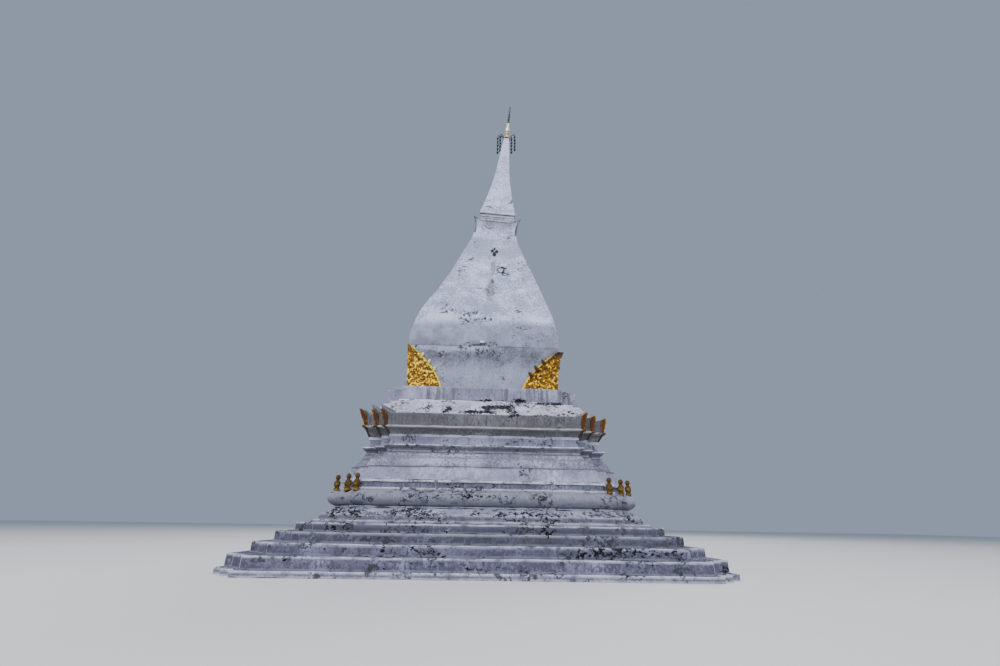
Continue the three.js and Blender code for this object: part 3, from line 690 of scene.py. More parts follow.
# %% Build the courses
SINK, BURIED = 0.012, 0.06
halves_above = [outline[0][0] for _, outline, _, _ in COURSES[1:]] + [FLARE_HALF]
halves_below = [COURSES[0][1][0][0]] + [outline[-1][0] for _, outline, _, _ in COURSES[:-1]]
for (name, outline, (depth, ring_plan, wash), weather), above, below in zip(COURSES, halves_above, halves_below):
    lined, shade = weather.pop("lined", 0.0), weather.pop("shade", 0.0)
    (foot, low), (head, high) = outline[0], outline[-1]
    low -= SINK if below > foot else 0.0
    high += SINK if above > head else 0.0
    ends = [(min(foot, below) - 0.25, low), (foot, low)], [(head, high), (min(head, above) - BURIED, high)]
    levels, edge = section(ends[0] + outline[1:-1] + ends[1], step=0.022 if lined else 0.05)
    rings = stepped_rings(levels, (depth, ring_plan, 0.0))
    z = rings[..., 2]
    # Painted shade under the head of a course that a wider one overhangs, a dark dirt line at the foot of one that
    # stands on a wider one, and on lined courses a wavy dark line of dirt and painted shade along the head.
    shade_and_dirt_lines = 0.85 * (np.exp(-np.abs(z - high) / 0.024) * (above > head)
                   + np.exp(-np.abs(z - low) / 0.026) * (below > foot))
    wavy = high - 0.008 + 0.014 * lumps(rings, 0.45, 71)
    shade_and_dirt_lines = np.maximum(shade_and_dirt_lines, lined * bell((z - wavy) / 0.026))
    masonry(name, rings, np.maximum(edge, ring_plan["arris"]), wash, shade=np.maximum(shade_and_dirt_lines, shade), **weather)

# %% [markdown]
# ## Flares and horned rim
#
# Above the waist the courses flare out to a rim. From the lower flare up each course is drawn up a little
# round the corners, more on the left of the picture than on the right, and the rim's edge sweeps up into a
# horn at each of the twelve arrises. The rise dies away within 200 mm along the main faces, and keeps a third
# of its height in the valley between two horns of a corner.

# %% Horns and lifts
QUARTER_SIGNS = np.array([[1, 1], [-1, 1], [-1, -1], [1, -1]])
HORN_REACH, LIFT_REACH, VALLEY = 0.200, 1.4, 0.30


def all_corners(right, left):
    """Values of the four corners in the plan's order, from those of a right and a left corner."""
    return np.concatenate([right, left[::-1], left, right[::-1]])


HORN_RISES = all_corners([0.120, 0.135, 0.140], [0.255, 0.300, 0.215])
HORN_OUTS = all_corners([-0.020, 0.008, 0.008], [0.068, 0.075, 0.055])
LIFTS = all_corners([0.040, 0.032, 0.022, 0.012, 0.0], [0.115, 0.092, 0.058, 0.035, 0.0])


def swept_rings(levels, ring_plan=TOP_PLAN):
    """Rings whose arrises are swept up. Rows of levels are half-width, height, share of the horns and share of
    the lift. The sweep is 1 at a horn and falls with a power of what is left of its reach: 1.2 along a main face,
    and 1.9 along a step."""
    half, height, horn_share, lift_share = (column[:, None] for column in levels.T)
    side, share = ring_plan["side"], ring_plan["share"]
    on_face = side % 5 == 4
    at_end = np.where(on_face, share >= 0.5, side % 5 % 2 == 1)
    corner = (side + at_end) % 20
    horn = corner // 5 * 3 + corner % 5 // 2
    from_horn = np.where(at_end, 1 - share, share)
    run = from_horn * 2 * (half - TOP_DEPTH)
    floor = np.where(on_face, 0.0, VALLEY)
    ratio = np.where(on_face, run / HORN_REACH, from_horn)
    sweep = floor + (1 - floor) * unit(1 - ratio) ** np.where(on_face, 1.2, 1.9)
    on_step = between_corners(LIFTS[:, None], side, share)[..., 0]
    lift = np.where(on_face, LIFTS[corner] * unit(1 - run / LIFT_REACH) ** 2, on_step)
    flat = half[..., None] * ring_plan["spread"] + TOP_DEPTH * ring_plan["offset"]
    flat = flat + QUARTER_SIGNS[corner // 5] * (HORN_OUTS[horn] * horn_share * sweep)[..., None]
    level = height + lift * lift_share + HORN_RISES[horn] * horn_share * sweep
    return np.concatenate([flat, level[..., None]], axis=2)


def rim_levels(share):
    """Levels of the rim's face at some shares of its height."""
    return np.stack([3.352 + 0.078 * share ** 1.3, 3.375 + 0.325 * share, share ** 2, 1 - share], axis=1)


print("horns rise", HORN_RISES)

# %% Build the flares and the rim
flare = [(half, z, 0.0, (z - 3.167) / 0.155) for half, z in hollow((FLARE_HALF, 3.167), (3.342, 3.322), 0.016)]
RIM_COURSES = [
    ("lower_flare", [(2.97, 3.155, 0, 0)] + flare + [(3.342, 3.334, 0, 1), (3.28, 3.334, 0, 1)],
     dict(shade_and_soot_below=0.75, spots=0.35, flaked=0.4)),
    ("flare_fillet", [(3.10, 3.322, 0, 1), (3.388, 3.322, 0, 1), (3.388, 3.375, 0, 1), (3.29, 3.375, 0, 1)],
     dict(shade_and_soot_below=0.9, mould=0.5, rubbed=0.6, shade=0.22)),
    ("horned_rim", [(3.05, 3.363, 0, 1), (3.352, 3.363, 0, 1)] + rim_levels(np.linspace(0, 1, 9))[1:].tolist()
     + [(3.335, 3.700, 0.85, 0), (2.95, 3.700, 0.1, 0)],
     dict(shade_and_soot_below=0.95, mould=0.45, rubbed=0.3, shade=0.50, flaked=0.35, filmed=0.3)),
]
RIM_SPOTS = [(0.75, 0.75, 3.66, 0.28, 0.10), (0.45, 0.2, 3.69, 0.9, 0.04), (0.4, 1.6, 3.69, 0.6, 0.03)]
for name, outline, weather in RIM_COURSES:
    levels, edge = section(outline)
    rings = swept_rings(levels)
    dripping = 0.40 + clouds(rings, [(0.6, 0.8, 3.70, 1.3, 0.30)])
    masonry(name, rings, np.maximum(edge, TOP_PLAN["arris"]), rim_wash, streaked=dripping,
            **({"spots": 0.38 + clouds(rings, RIM_SPOTS)} | weather))

# %% [markdown]
# ## Weathered slope and plinth
#
# Rain stands on the slope behind the rim, so it is covered in black mould. It narrows to the plinth of the
# bud, and its corner steps grow shallower on the way. The plinth and all above it stand 100 mm to one side
# of the pedestal's axis.

# %% Slope and plinth
SHIFT = -0.100
MOULD_SPOTS = [(1.0, 0.03, 3.97, 0.17, 0.07), (1.2, 0.44, 4.01, 0.42, 0.08), (0.9, 0.03, 4.20, 0.16, 0.06),
               (0.6, -0.20, 4.19, 0.18, 0.04), (1.1, 0.94, 4.21, 0.20, 0.08), (0.9, 1.51, 4.15, 0.18, 0.045),
               (0.6, 1.20, 4.16, 0.10, 0.04), (0.8, 2.03, 4.16, 0.20, 0.045), (0.7, -1.03, 3.92, 0.14, 0.20),
               (0.9, -0.59, 3.81, 0.26, 0.05), (0.7, -0.32, 3.86, 0.10, 0.05), (0.4, -0.60, 4.00, 0.35, 0.14),
               (0.8, 0.03, 3.82, 0.20, 0.06), (0.8, 0.72, 3.80, 0.32, 0.12), (0.8, 1.40, 3.72, 0.28, 0.04),
               (0.7, 1.90, 3.72, 0.40, 0.03), (0.8, 2.34, 3.87, 0.15, 0.10), (0.7, -1.54, 4.07, 0.10, 0.10),
               (0.5, -1.70, 3.93, 0.22, 0.14), (0.7, -2.20, 4.05, 0.15, 0.05), (0.6, -2.42, 3.96, 0.15, 0.05),
               (0.4, -2.00, 4.17, 0.22, 0.05)]
levels, edge = section([(3.05, 3.688)] + hollow((3.265, 3.700), (2.860, 4.205), 0.012, 10) + [(2.75, 4.217)])
rings = stepped_rings(levels, (TOP_DEPTH, TOP_PLAN, 0.0), (PLINTH_DEPTH, BASE_PLAN, SHIFT))
clustered = 0.54 + 0.16 * lumps(rings, 0.6, 61) + clouds(rings, MOULD_SPOTS)
masonry("weathered_slope", rings, np.maximum(edge, TOP_PLAN["arris"]), slope_wash, slot="mouldy_limewash",
        mould=clustered, filmed=0.25, spots=0.2)
PLINTH_SPOTS = [(0.7, 0.03, 4.22, 0.18, 0.06), (0.7, 0.94, 4.23, 0.20, 0.08)]
levels, edge = section([(2.60, 4.193), (2.815, 4.193), (2.815, 4.610), (2.05, 4.610)])
rings = stepped_rings(levels, (PLINTH_DEPTH, BASE_PLAN, SHIFT))
# A dark dirt line at the plinth's foot, and a little painted shade all over it.
masonry("plinth", rings, np.maximum(edge, BASE_PLAN["arris"]), wall_wash, mould=0.7, streaked=0.55, rubbed=0.3,
        flaked=0.35, filmed=0.3, spots=0.3 + clouds(rings, PLINTH_SPOTS),
        shade=np.maximum(0.7 * np.exp(-np.abs(rings[..., 2] - 4.205) / 0.025), 0.12))

# %% [markdown]
# ## The bud
#
# The body of the stupa is a square with slightly rounded arrises. It swells up to a crease, then tapers in a
# long curve like a lotus bud about to open. The old tower leans a little: from just above the crease its
# centre line bends over by about four degrees, and every ring stands square to that line. The left face is
# also straighter than the right one, so the middle of a ring lies up to 122 mm to the right of the line.

# %% Leaning centre line
LEAN = radians(4.25)
BUD_TOP = 11.050
line_z = np.linspace(4.6, BUD_TOP, 700)
line_t = unit((line_z - 6.1) / (8.9 - 6.1))
line_lean = LEAN * line_t * line_t * (3 - 2 * line_t)
line_x = SHIFT + np.concatenate([[0], np.cumsum(np.tan(line_lean[:-1]) * np.diff(line_z))])
print("the bud's top stands", round(float(line_x[-1]), 3), "m off the axis")

# %% Rings on the centre line
def leaning(rings, lean, centre_x, centre_z):
    """Rings drawn round their own centre are turned about Y by the lean and set on the centre line."""
    x, y, z = rings[..., 0], rings[..., 1], rings[..., 2]
    return np.stack([centre_x + x * np.cos(lean) + z * np.sin(lean), y,
                     centre_z - x * np.sin(lean) + z * np.cos(lean)], axis=-1)


def on_centre_line(rings):
    """Rings whose z is a height on the bent centre line, each turned square to it."""
    height = rings[..., 2]
    lean, centre_x = np.interp(height, line_z, line_lean), np.interp(height, line_z, line_x)
    return leaning(rings * np.array([1, 1, 0]), lean, centre_x, height)


def on_upper_line(rings):
    """Rings whose z is a distance along the straight line above the bud."""
    return leaning(rings, LEAN, line_x[-1], BUD_TOP)


def along(z):
    """Distance up the leaning line for a height above the ground."""
    return (z - BUD_TOP) / float(np.cos(LEAN))


print("the top of the tower lies", round(along(19.190), 3), "m up the leaning line")

# %% Square rings
def softened(profile, low, high, window, step):
    """A profile of half-widths and heights, sampled evenly and averaged over a window, so its bends are soft.
    Any further columns are averaged too."""
    profile = np.array(profile)
    at = np.linspace(low, high, int((high - low) / step) + 2)
    spread = np.linspace(-window, window, 9)[:, None]
    columns = [np.interp(at + spread, profile[:, 1], column).mean(axis=0) for column in profile.T]
    columns[1] = at
    return np.stack(columns, axis=1).tolist()


def square_rings(levels):
    """Rings of the square plan for rows of half-width and height."""
    return stepped_rings(levels, (0.0, SQUARE_PLAN, 0.0))


def towards_left(rings):
    """1 on the left of the front face, falling to 0 right of its middle."""
    return unit(0.5 - rings[..., 0] / 0.9) * (rings[..., 1] < -1.5)


square_arris = SQUARE_PLAN["arris"]
print("square rings ready")

# %% Bud bowl
CREASE = 6.060
BOWL = [(2.095, 4.610), (2.128, 4.850), (2.185, 5.200), (2.245, 5.550), (2.300, 5.850), (2.335, CREASE)]
bowl = [(min(half, 2.321), z) for half, z in softened(BOWL, 4.60, CREASE - 0.03, 0.05, 0.10)]
levels, edge = section([(1.8, 4.598)] + bowl + [(2.324, CREASE - 0.006), (2.324, CREASE + 0.02), (2.2, CREASE + 0.02)],
                       step=0.05)
rings = square_rings(levels) + np.array([SHIFT, 0, 0])
# Painted shade below the crease, where the bowl faces a little downwards, over some painted shade all over it. On the
# left of the front the shade begins lower down, and the grey film thickens with it.
below = CREASE - rings[..., 2]
start = towards_left(rings) * (0.25 + 0.10 * lumps(rings, 0.45, 57)) - 0.08
under = np.exp(-((np.maximum(below, 0) / 0.68) ** 3)) * unit(0.25 + (below - start) / 0.07)
under = under * (0.85 + 0.22 * lumps(rings, 0.7, 51))
under = under + clouds(rings, [(0.30, 0.10, 5.75, 0.8, 0.25), (0.25, -1.5, 5.85, 0.5, 0.2)])
masonry("bud_bowl", rings, square_arris, bud_wash, mould=0.2, spots=0.05, shade=0.37 + 0.40 * under,
        filmed=0.20 + 0.25 * under, streaked=0.8 * np.exp(-(rings[..., 2] - 4.6) / 0.22),
        flaked=0.42 + clouds(rings, [(0.45, -0.1, 5.9, 0.5, 0.25), (0.3, -1.4, 5.8, 0.4, 0.2)]))

# %% Bud body
BODY = [(2.335, CREASE, 0.0), (2.342, 6.250, 0.005), (2.311, 6.565, 0.017), (2.225, 6.964, 0.018),
        (2.116, 7.371, 0.036), (1.996, 7.717, 0.070), (1.819, 8.161, 0.113), (1.636, 8.695, 0.122),
        (1.467, 9.174, 0.109), (1.281, 9.746, 0.075), (1.073, 10.377, 0.030), (0.866, BUD_TOP, 0.0)]
FLAKED_SPOTS = [(0.85, -1.07, 7.33, 0.38, 0.15), (0.75, -0.77, 7.05, 0.30, 0.12), (0.6, -0.03, 7.02, 0.24, 0.12),
                (0.5, 0.29, 7.58, 0.28, 0.16), (0.45, 0.90, 7.38, 0.35, 0.30), (0.45, 1.55, 7.00, 0.30, 0.25),
                (0.4, 1.82, 6.70, 0.20, 0.15), (0.5, 0.05, 8.40, 0.20, 0.50), (0.55, 0.50, 9.35, 0.35, 0.20),
                (0.45, -1.04, 9.21, 0.30, 0.30), (0.45, -0.71, 9.70, 0.35, 0.35), (0.4, -0.54, 10.81, 0.25, 0.15),
                (0.4, 1.22, 9.63, 0.30, 0.35), (0.35, 1.51, 8.19, 0.30, 0.40), (0.4, -2.04, 7.31, 0.15, 0.06),
                (0.6, -0.10, 6.12, 0.50, 0.10), (0.5, 1.20, 6.10, 0.60, 0.05)]
body = softened(BODY, CREASE + 0.03, BUD_TOP, 0.12, 0.16)
levels, edge = section([(2.10, CREASE, 0.0), (2.328, CREASE, 0.0)] + body + [(0.70, BUD_TOP + 0.001, 0.0)], step=0.09)
rings = square_rings(levels)
rings[..., 0] += levels[:, 2:3]
rings = on_centre_line(rings)
bulge = 0.020 * np.clip(lumps(rings, 0.55, 41), -0.3, 1) * np.exp(-(np.maximum(rings[..., 2] - CREASE, 0) / 0.12))
bulge = bulge + clouds(rings, [(0.035, -0.16, 6.21, 0.13, 0.06)])
rings = rings + outward_normals(rings) * np.array([1, 1, 0]) * bulge[..., None]
x, y, z = rings[..., 0], rings[..., 1], rings[..., 2]
# The body is darker below about 7.05 m, and on the left of the front painted shade spreads up from the crease. A
# painted shadow line runs along the crease, broken up and strongest on the right.
low_shade = 0.60 * unit((7.05 - z + 0.15 * lumps(rings, 0.9, 55)) / 0.25)
low_shade = low_shade + 0.16 * towards_left(rings) * np.exp(-(z - CREASE) / 0.25)
crease_line = 0.75 * np.exp(-np.maximum(z - CREASE, 0) / 0.020) * unit(0.3 + x + 0.8 * lumps(rings, 0.22, 58))
masonry("bud_body", rings, square_arris * 0.8, bud_wash, mould=0.15, spots=0.05,
        shade_and_soot_below=np.clip(0.5 * lumps(rings, 0.5, 53) + np.where(y < -2, 0.5 * x, 0.3), 0, 0.8),
        flaked=0.38 + 0.14 * lumps(rings, 1.2, 56) + clouds(rings, FLAKED_SPOTS),
        filmed=0.22 + 0.20 * lumps(rings, 1.3, 52) + 0.40 * unit((z - 6.8) / 0.9),
        shade=np.maximum(low_shade, crease_line))

# %% [markdown]
# ## Neck, collar and spire
#
# The bud ends in a hollow neck, whose four corners are drawn up and out like small fins. On it sit the two
# steps of the collar and the spire, a square needle with hollow sides on a thin band.

# %% Neck
NECK_TOP = along(11.930)
NECK = [(0.866, -0.02), (0.822, along(11.280)), (0.797, along(11.509)), (0.800, along(11.700)), (0.812, along(11.850)),
        (0.836, NECK_TOP)]
FIN_RISE, FIN_REACH, FIN_OUT_LEFT, FIN_OUT_RIGHT = 0.105, 0.330, 0.070, 0.120
neck = np.array(softened(NECK, -0.015, NECK_TOP - 0.001, 0.02, 0.08))
fin_share = unit((neck[:, 1] / NECK_TOP - 0.45) / 0.55) ** 2
neck_head = [[0.836, NECK_TOP, 1.0], [0.796, NECK_TOP, 0.85], [0.60, NECK_TOP + 0.004, 0.0]]
levels, edge = section(np.concatenate([np.column_stack([neck, fin_share]), neck_head]), step=0.05)
from_arris = np.minimum(SQUARE_PLAN["share"], 1 - SQUARE_PLAN["share"]) * 2 * levels[:, :1]


def finned_rings(levels):
    """Square rings whose corners are raised and pushed out, further on the right of the picture. Both die away with
    the distance from the arris."""
    rings = square_rings(levels)
    sweep = unit(1 - from_arris / FIN_REACH) ** 1.9 * levels[:, 2:3]
    signs = QUARTER_SIGNS[(SQUARE_PLAN["side"] + (SQUARE_PLAN["share"] >= 0.5)) % 4]
    rings[..., :2] += signs * (np.where(signs[:, 0] > 0, FIN_OUT_RIGHT, FIN_OUT_LEFT) * sweep)[..., None]
    rings[..., 2] += FIN_RISE * sweep
    return rings


def lines_at(levels, places, width):
    """Lines at some heights, each a bell curve of the given width: the painted shadow lines under lips and ledges,
    and the spire's band of flaking.
    """
    return sum(bell((levels[:, 1:2] - place) / width) for place in places)


rings = finned_rings(levels)
down_from_top = (NECK_TOP - levels[:, 1:2]) / 0.30
# Painted shade below the neck's flared top, painted shadow on the fins beside the arrises, and a painted shadow line
# under the lip.
neck_shade = 0.55 * bell(np.clip(down_from_top, 0, 9) - 0.25 * lumps(rings, 0.22, 54))
neck_shade = np.maximum(neck_shade, 0.9 * (from_arris < 0.055) * (down_from_top < 2.0))
neck_shade = np.maximum(neck_shade, lines_at(levels, (NECK_TOP - 0.012,), 0.042))
masonry("bud_neck", on_upper_line(rings), np.maximum(edge, square_arris) * (down_from_top > 2.2), bud_wash,
        mould=0.3, shade_and_soot_below=0.5, spots=0.1, flaked=0.42, shade=neck_shade)

# %% Collar and spire
levels, edge = section([(0.60, NECK_TOP - 0.004), (0.768, NECK_TOP), (0.768, along(12.10)), (0.705, along(12.10)),
                        (0.700, along(12.26)), (0.60, along(12.26))], step=0.024)
# Painted shadow lines under the neck's lip and under the collar's two ledges.
lip_shadows = lines_at(levels, (NECK_TOP + 0.01, along(12.075), along(12.225)), 0.042)
masonry("collar", on_upper_line(square_rings(levels)), np.maximum(edge, square_arris), bud_wash, "collar_steps",
        mould=0.4, shade_and_soot_below=0.7, spots=0.1, flaked=0.4, shade=np.maximum(1.1 * lip_shadows, 0.08))
SPIRE = [(0.706, 12.440), (0.612, 12.883), (0.495, 13.489), (0.418, 13.975), (0.343, 14.445), (0.265, 15.208),
         (0.218, 15.821), (0.182, 16.291), (0.128, 16.854), (0.108, 17.060)]
SPIRE_BAND = [(0.60, 12.25), (0.682, 12.25), (0.682, 12.38), (0.706, 12.385), (0.706, 12.44)]
band, needle = ([(half, along(z)) for half, z in rows] for rows in (SPIRE_BAND, SPIRE))
needle = softened(needle, along(12.55), along(17.058), 0.12, 0.20)
levels, edge = section(band + needle + [(0.02, along(17.060))], step=0.09)
# A painted shadow line under the lip of the spire's band.
lip_shadows = lines_at(levels, (along(12.36),), 0.034)
masonry("spire", on_upper_line(square_rings(levels)), np.maximum(edge, square_arris) * 0.7, bud_wash, mould=0.15,
        spots=0.05, filmed=0.4, flaked=0.34 + 0.25 * lines_at(levels, (along(12.85),), 0.35),
        shade=np.maximum(1.2 * lip_shadows, 0.05))

# %% [markdown]
# ## Gilding and iron
#
# The leaves are plaster or sheet metal covered with gold leaf. Raised parts still shine, while hollows are
# brown with dust, and the leaf is worn to patches of red-brown ground. The weather attribute of a gilded
# piece says how deep a hollow is, how much dust and painted shade darken it, and where a highlight is painted.

# %% Worn gilding
worn, given, result = new_group(
    "worn_gilding", {"Bright": (0.8, 0.5, 0.1, 1.0), "Dull": (0.3, 0.15, 0.03, 1.0), "Wear": 0.5, "Hollow": 0.0},
    "Color", "Height", "Worn")
crinkled = noise(EVEN, 16.0, 6.0, 0.65, 0.5)
patched = noise((1.0, 1.0, 1.3), 4.5, 5.0, 0.6, at=(4.0, 2.0, 9.0))
start = 0.78 - given["Wear"] * 0.35
gone = fade(crinkled * 0.5 + patched * 0.5 + given["Hollow"] * 0.3, start - 0.12, start + 0.06)
connect(result, {"Color": blend(gone, given["Bright"], given["Dull"]), "Height": crinkled, "Worn": gone})
# The colour of a painted highlight, and the dark colour of dust and painted shade.
SHINE, GRIME_AND_SHADE = (1.0, 0.86, 0.21), (0.035, 0.026, 0.014)


def gilding(name, bright, dull, wear, metal):
    """A gilded material. Hollows and worn places lose their metal as well as their colour."""
    material, shader = new_material(name)
    masks = vertex_masks("weather")
    leaf = use(worn, {"Bright": bright, "Dull": dull, "Wear": wear, "Hollow": masks["Red"]})
    colour = blend(masks["Red"] * 0.85, leaf["Color"], dull)
    # The blue mask paints a highlight, and the green mask darkens with dust and painted shade.
    colour = blend(masks["Green"], blend(masks["Blue"] * 0.95, colour, SHINE), GRIME_AND_SHADE)
    kept = 1.0 - calculate("MAXIMUM", leaf["Worn"], masks["Green"])
    connect(shader, {"Base Color": colour, "Metallic": kept * metal, "Roughness": leaf["Worn"] * 0.35 + 0.34,
                     "Specular IOR Level": 0.25, "Normal": bumped(leaf["Height"], 0.5, 0.01)})
    return material


bright_gold = gilding("gold_leaf", (0.98, 0.60, 0.020), (0.22, 0.095, 0.002), 0.45, 0.35)
horn_gold = gilding("amber_gold", (0.90, 0.42, 0.012), (0.10, 0.030, 0.004), 0.75, 0.15)
lotus_gold = gilding("aged_gold", (0.50, 0.32, 0.030), (0.085, 0.042, 0.006), 0.65, 0.2)
stem_gold = gilding("pale_gold", (0.86, 0.77, 0.56), (0.34, 0.24, 0.09), 0.35, 0.25)

# %% Dark iron
iron, shader = new_material("dark_iron")
rust = fade(noise(EVEN, 11.0, 6.0, 0.65), 0.52, 0.64)
connect(shader, {"Base Color": blend(rust, (0.012, 0.015, 0.028), (0.045, 0.024, 0.014)),
                 "Roughness": rust * 0.3 + 0.45, "Metallic": 0.3})

# %% [markdown]
# ## Gilded horns
#
# Each horn of the rim is wrapped in a gilded leaf. It lies along the arris on both faces, is broad and raised
# under the horn's tip, runs in over the fillet, and tapers to a narrow stripe on the flare below. It follows
# the same swept rings as the rim, at chosen distances to either side of the arris.

# %% Strips along an arris
CORNER_SPREAD, CORNER_OFFSET = corner_directions(stepped(0.55))
STRIPE_FOOT, STRIPE_HEAD = (3.226, 3.175, 0, 0.05), (3.345, 3.322, 0, 1)
OVER_FILLET = [(3.394, 3.326, 0, 1), (3.394, 3.371, 0, 1)]


def beside_arris(corner, distance, levels):
    """Ring points at signed distances along the two sides that meet in a corner, and the sides' outward normals
    there. Rows are levels, and a negative distance lies before the corner."""
    corners = levels[:, 0, None, None] * CORNER_SPREAD + TOP_DEPTH * CORNER_OFFSET
    side = np.where(distance >= 0, corner, corner - 1) % 20
    rows = np.arange(len(levels))[:, None]
    run = corners[rows, (side + 1) % 20] - corners[rows, side]
    length = np.linalg.norm(run, axis=2)
    share = np.where(distance >= 0, distance / length, 1 + distance / length)
    ring_plan = {"side": side, "share": share, "spread": between_corners(CORNER_SPREAD, side, share),
                 "offset": between_corners(CORNER_OFFSET, side, share)}
    normal = np.stack([run[..., 1], -run[..., 0], np.zeros(run.shape[:2])], axis=-1) / length[..., None]
    return swept_rings(levels, ring_plan), normal


print("corners", len(CORNER_SPREAD))

# %% Leaf of one horn
def horn_leaf(corner, dust, top):
    """A closed strip over an arris: thirteen points across its raised front, and three inside the plaster. Dust is
    added all over to the dark mask, which also paints shade down the stripe on the downward-facing flare and darkens
    the outer edges, and top is how far up the rim it reaches."""
    stripe = np.linspace(STRIPE_FOOT, STRIPE_HEAD, 14)
    levels = np.concatenate([stripe, OVER_FILLET, rim_levels(np.linspace(0, top, 26))])
    up_leaf = np.linspace(0, 1, len(levels))
    width = np.interp(up_leaf, [0, 0.3, 0.38, 0.45, 0.86, 0.96, 1], [0.030, 0.058, 0.085, 0.078, 0.122, 0.120, 0.080])
    width = width * (1 + 0.06 * np.sin(up_leaf * 46.0) * (up_leaf > 0.42))
    proud = np.interp(up_leaf, [0, 0.35, 0.45, 0.7, 1], [0.010, 0.014, 0.016, 0.026, 0.038])
    across = np.linspace(-1, 1, 13)
    surface, normal = beside_arris(corner, across * width[:, None], levels)
    mixed = unit(across / 0.4 + 0.5)[:, None]
    normal = normal[:, :1] * (1 - mixed) + normal[:, -1:] * mixed
    normal = normal / np.linalg.norm(normal, axis=-1, keepdims=True)
    ribs = 1 + 0.30 * np.cos(across * 2.5 * pi)
    front = surface + normal * (proud[:, None] * ribs)[..., None]
    inside = surface[:, [12, 6, 0]] - normal[:, [12, 6, 0]] * 0.025
    rings = hand_laid(np.concatenate([front, inside], axis=1))
    # Painted shade down the stripe on the flare, which faces down, falling away over the fillet; the outer edges are
    # darker as well.
    dust_and_shade = dust + np.interp(up_leaf, [0, 0.3, 0.36, 0.42, 0.5, 1], [0.95, 0.70, 0.10, 0.18, 0.05, 0.0])[:, None]
    outer_edge = unit((np.abs(np.concatenate([across, [0, 0, 0]])) - 0.6) / 0.3)
    hollows = np.concatenate([(1.3 - ribs) / 0.6, [1, 1, 1]])
    return closed_skin(rings), mask_rows(rings.shape[:2], hollows, np.clip(dust_and_shade + 0.65 * outer_edge, 0, 0.9))


print("horn leaf ready")

# %% Build the leaves of the horns
HORN_DUST = {12: 0.12, 14: 0.45, 9: 0.3, 17: 0.1}
HORN_TOPS = {12: 0.80, 14: 0.82, 7: 0.80, 5: 0.82}
horn_corners = [corner for corner in range(20) if corner % 5 % 2 == 0]
leaves = [horn_leaf(corner, HORN_DUST.get(corner, 0.0), HORN_TOPS.get(corner, 0.95)) for corner in horn_corners]
piece("horn_gilding", joined_skins([skin for skin, _ in leaves]), horn_gold, [],
      np.concatenate([masks for _, masks in leaves]))

# %% [markdown]
# ## Corner leaves of the bud
#
# A tall gilded leaf wraps each bottom corner of the bud. Its face is covered in scrolls, it has a raised rim
# along the inner edge, and three flame-shaped hooks stand up from that edge on each face. The face is a height
# field: spirals whose height is the cosine of their angle plus their radius, each faded out at its own edge.

# %% Round pieces
def circle(count):
    """The cosines and sines of evenly spaced angles."""
    angle = np.arange(count) / count * 2 * pi
    return np.cos(angle), np.sin(angle)


def tube(path, radius, side=(0.0, 1.0, 0.0), count=8):
    """A closed rod along a path. The side vector fixes where its first point lies, so it never twists."""
    tangent = np.gradient(path, axis=0)
    tangent /= np.linalg.norm(tangent, axis=1, keepdims=True)
    side = np.array(side) - (tangent @ np.array(side))[:, None] * tangent
    side /= np.linalg.norm(side, axis=1, keepdims=True)
    third = np.cross(tangent, side)
    cosine, sine = (part[:, None] for part in circle(count))
    reach = np.broadcast_to(radius, len(path))[:, None, None]
    return path[:, None] + reach * (cosine * side[:, None] + sine * third[:, None])


def revolved(profile, count, petals=0, petal_depth=0.0, petal_band=(0.0, 0.0)):
    """Rings turned about the upright axis from radii and heights. Between the two heights of the band, the radius
    swells and shrinks round the ring in as many petals as given."""
    radius, height = np.array(profile, float).T[:, :, None]
    cosine, sine = circle(count)
    middle, reach = np.mean(petal_band), max(np.ptp(petal_band) / 2, 1e-6)
    inside_band = unit(1 - np.abs(height - middle) / reach)
    swelling = np.abs(np.cos(np.arange(count) / count * pi * petals)) - 1
    radius = radius * (1 + petal_depth * swelling * inside_band)
    return np.stack([radius * cosine, radius * sine, np.broadcast_to(height, radius.shape)], axis=-1)


def spun(points, angle):
    """Points turned about the upright axis."""
    turn = np.array([[np.cos(angle), -np.sin(angle), 0], [np.sin(angle), np.cos(angle), 0], [0, 0, 1]])
    return points @ turn.T


print("round pieces ready")

# %% Scrollwork of a leaf
LEAF_FOOT, LEAF_OUT, LEAF_RELIEF = 4.610, 2.272, 0.038
LEAF_LEVELS, LEAF_POINTS = 96, 60
SCROLLS = np.array([[0.20, 0.16, 0.19, 1], [0.55, 0.14, 0.17, -1], [0.18, 0.50, 0.17, -1], [0.48, 0.42, 0.16, 1],
                    [0.14, 0.80, 0.14, 1], [0.36, 0.68, 0.12, -1], [0.12, 1.05, 0.10, -1], [0.76, 0.12, 0.10, 1],
                    [0.36, 0.30, 0.08, 1], [0.68, 0.32, 0.09, -1], [0.28, 0.92, 0.08, 1], [0.38, 0.06, 0.07, -1]])


def leaf_outline(t, height, reach, fullness, lean_out, bend):
    """At shares of a leaf's height: the height above the ground, the half-width of the corner it runs up, the bud's
    half-width, and where its inner edge lies. The corner leans out by lean_out times the power bend, and the
    face's reach past the bud's edge is a quarter wave that narrows to the tip."""
    z = LEAF_FOOT + height * t
    bud = np.interp(z, [row[1] for row in BOWL], [row[0] for row in BOWL])
    return z, LEAF_OUT + lean_out * t ** bend, bud, bud - 0.025 - reach * unit(np.cos(t * pi / 2)) ** fullness


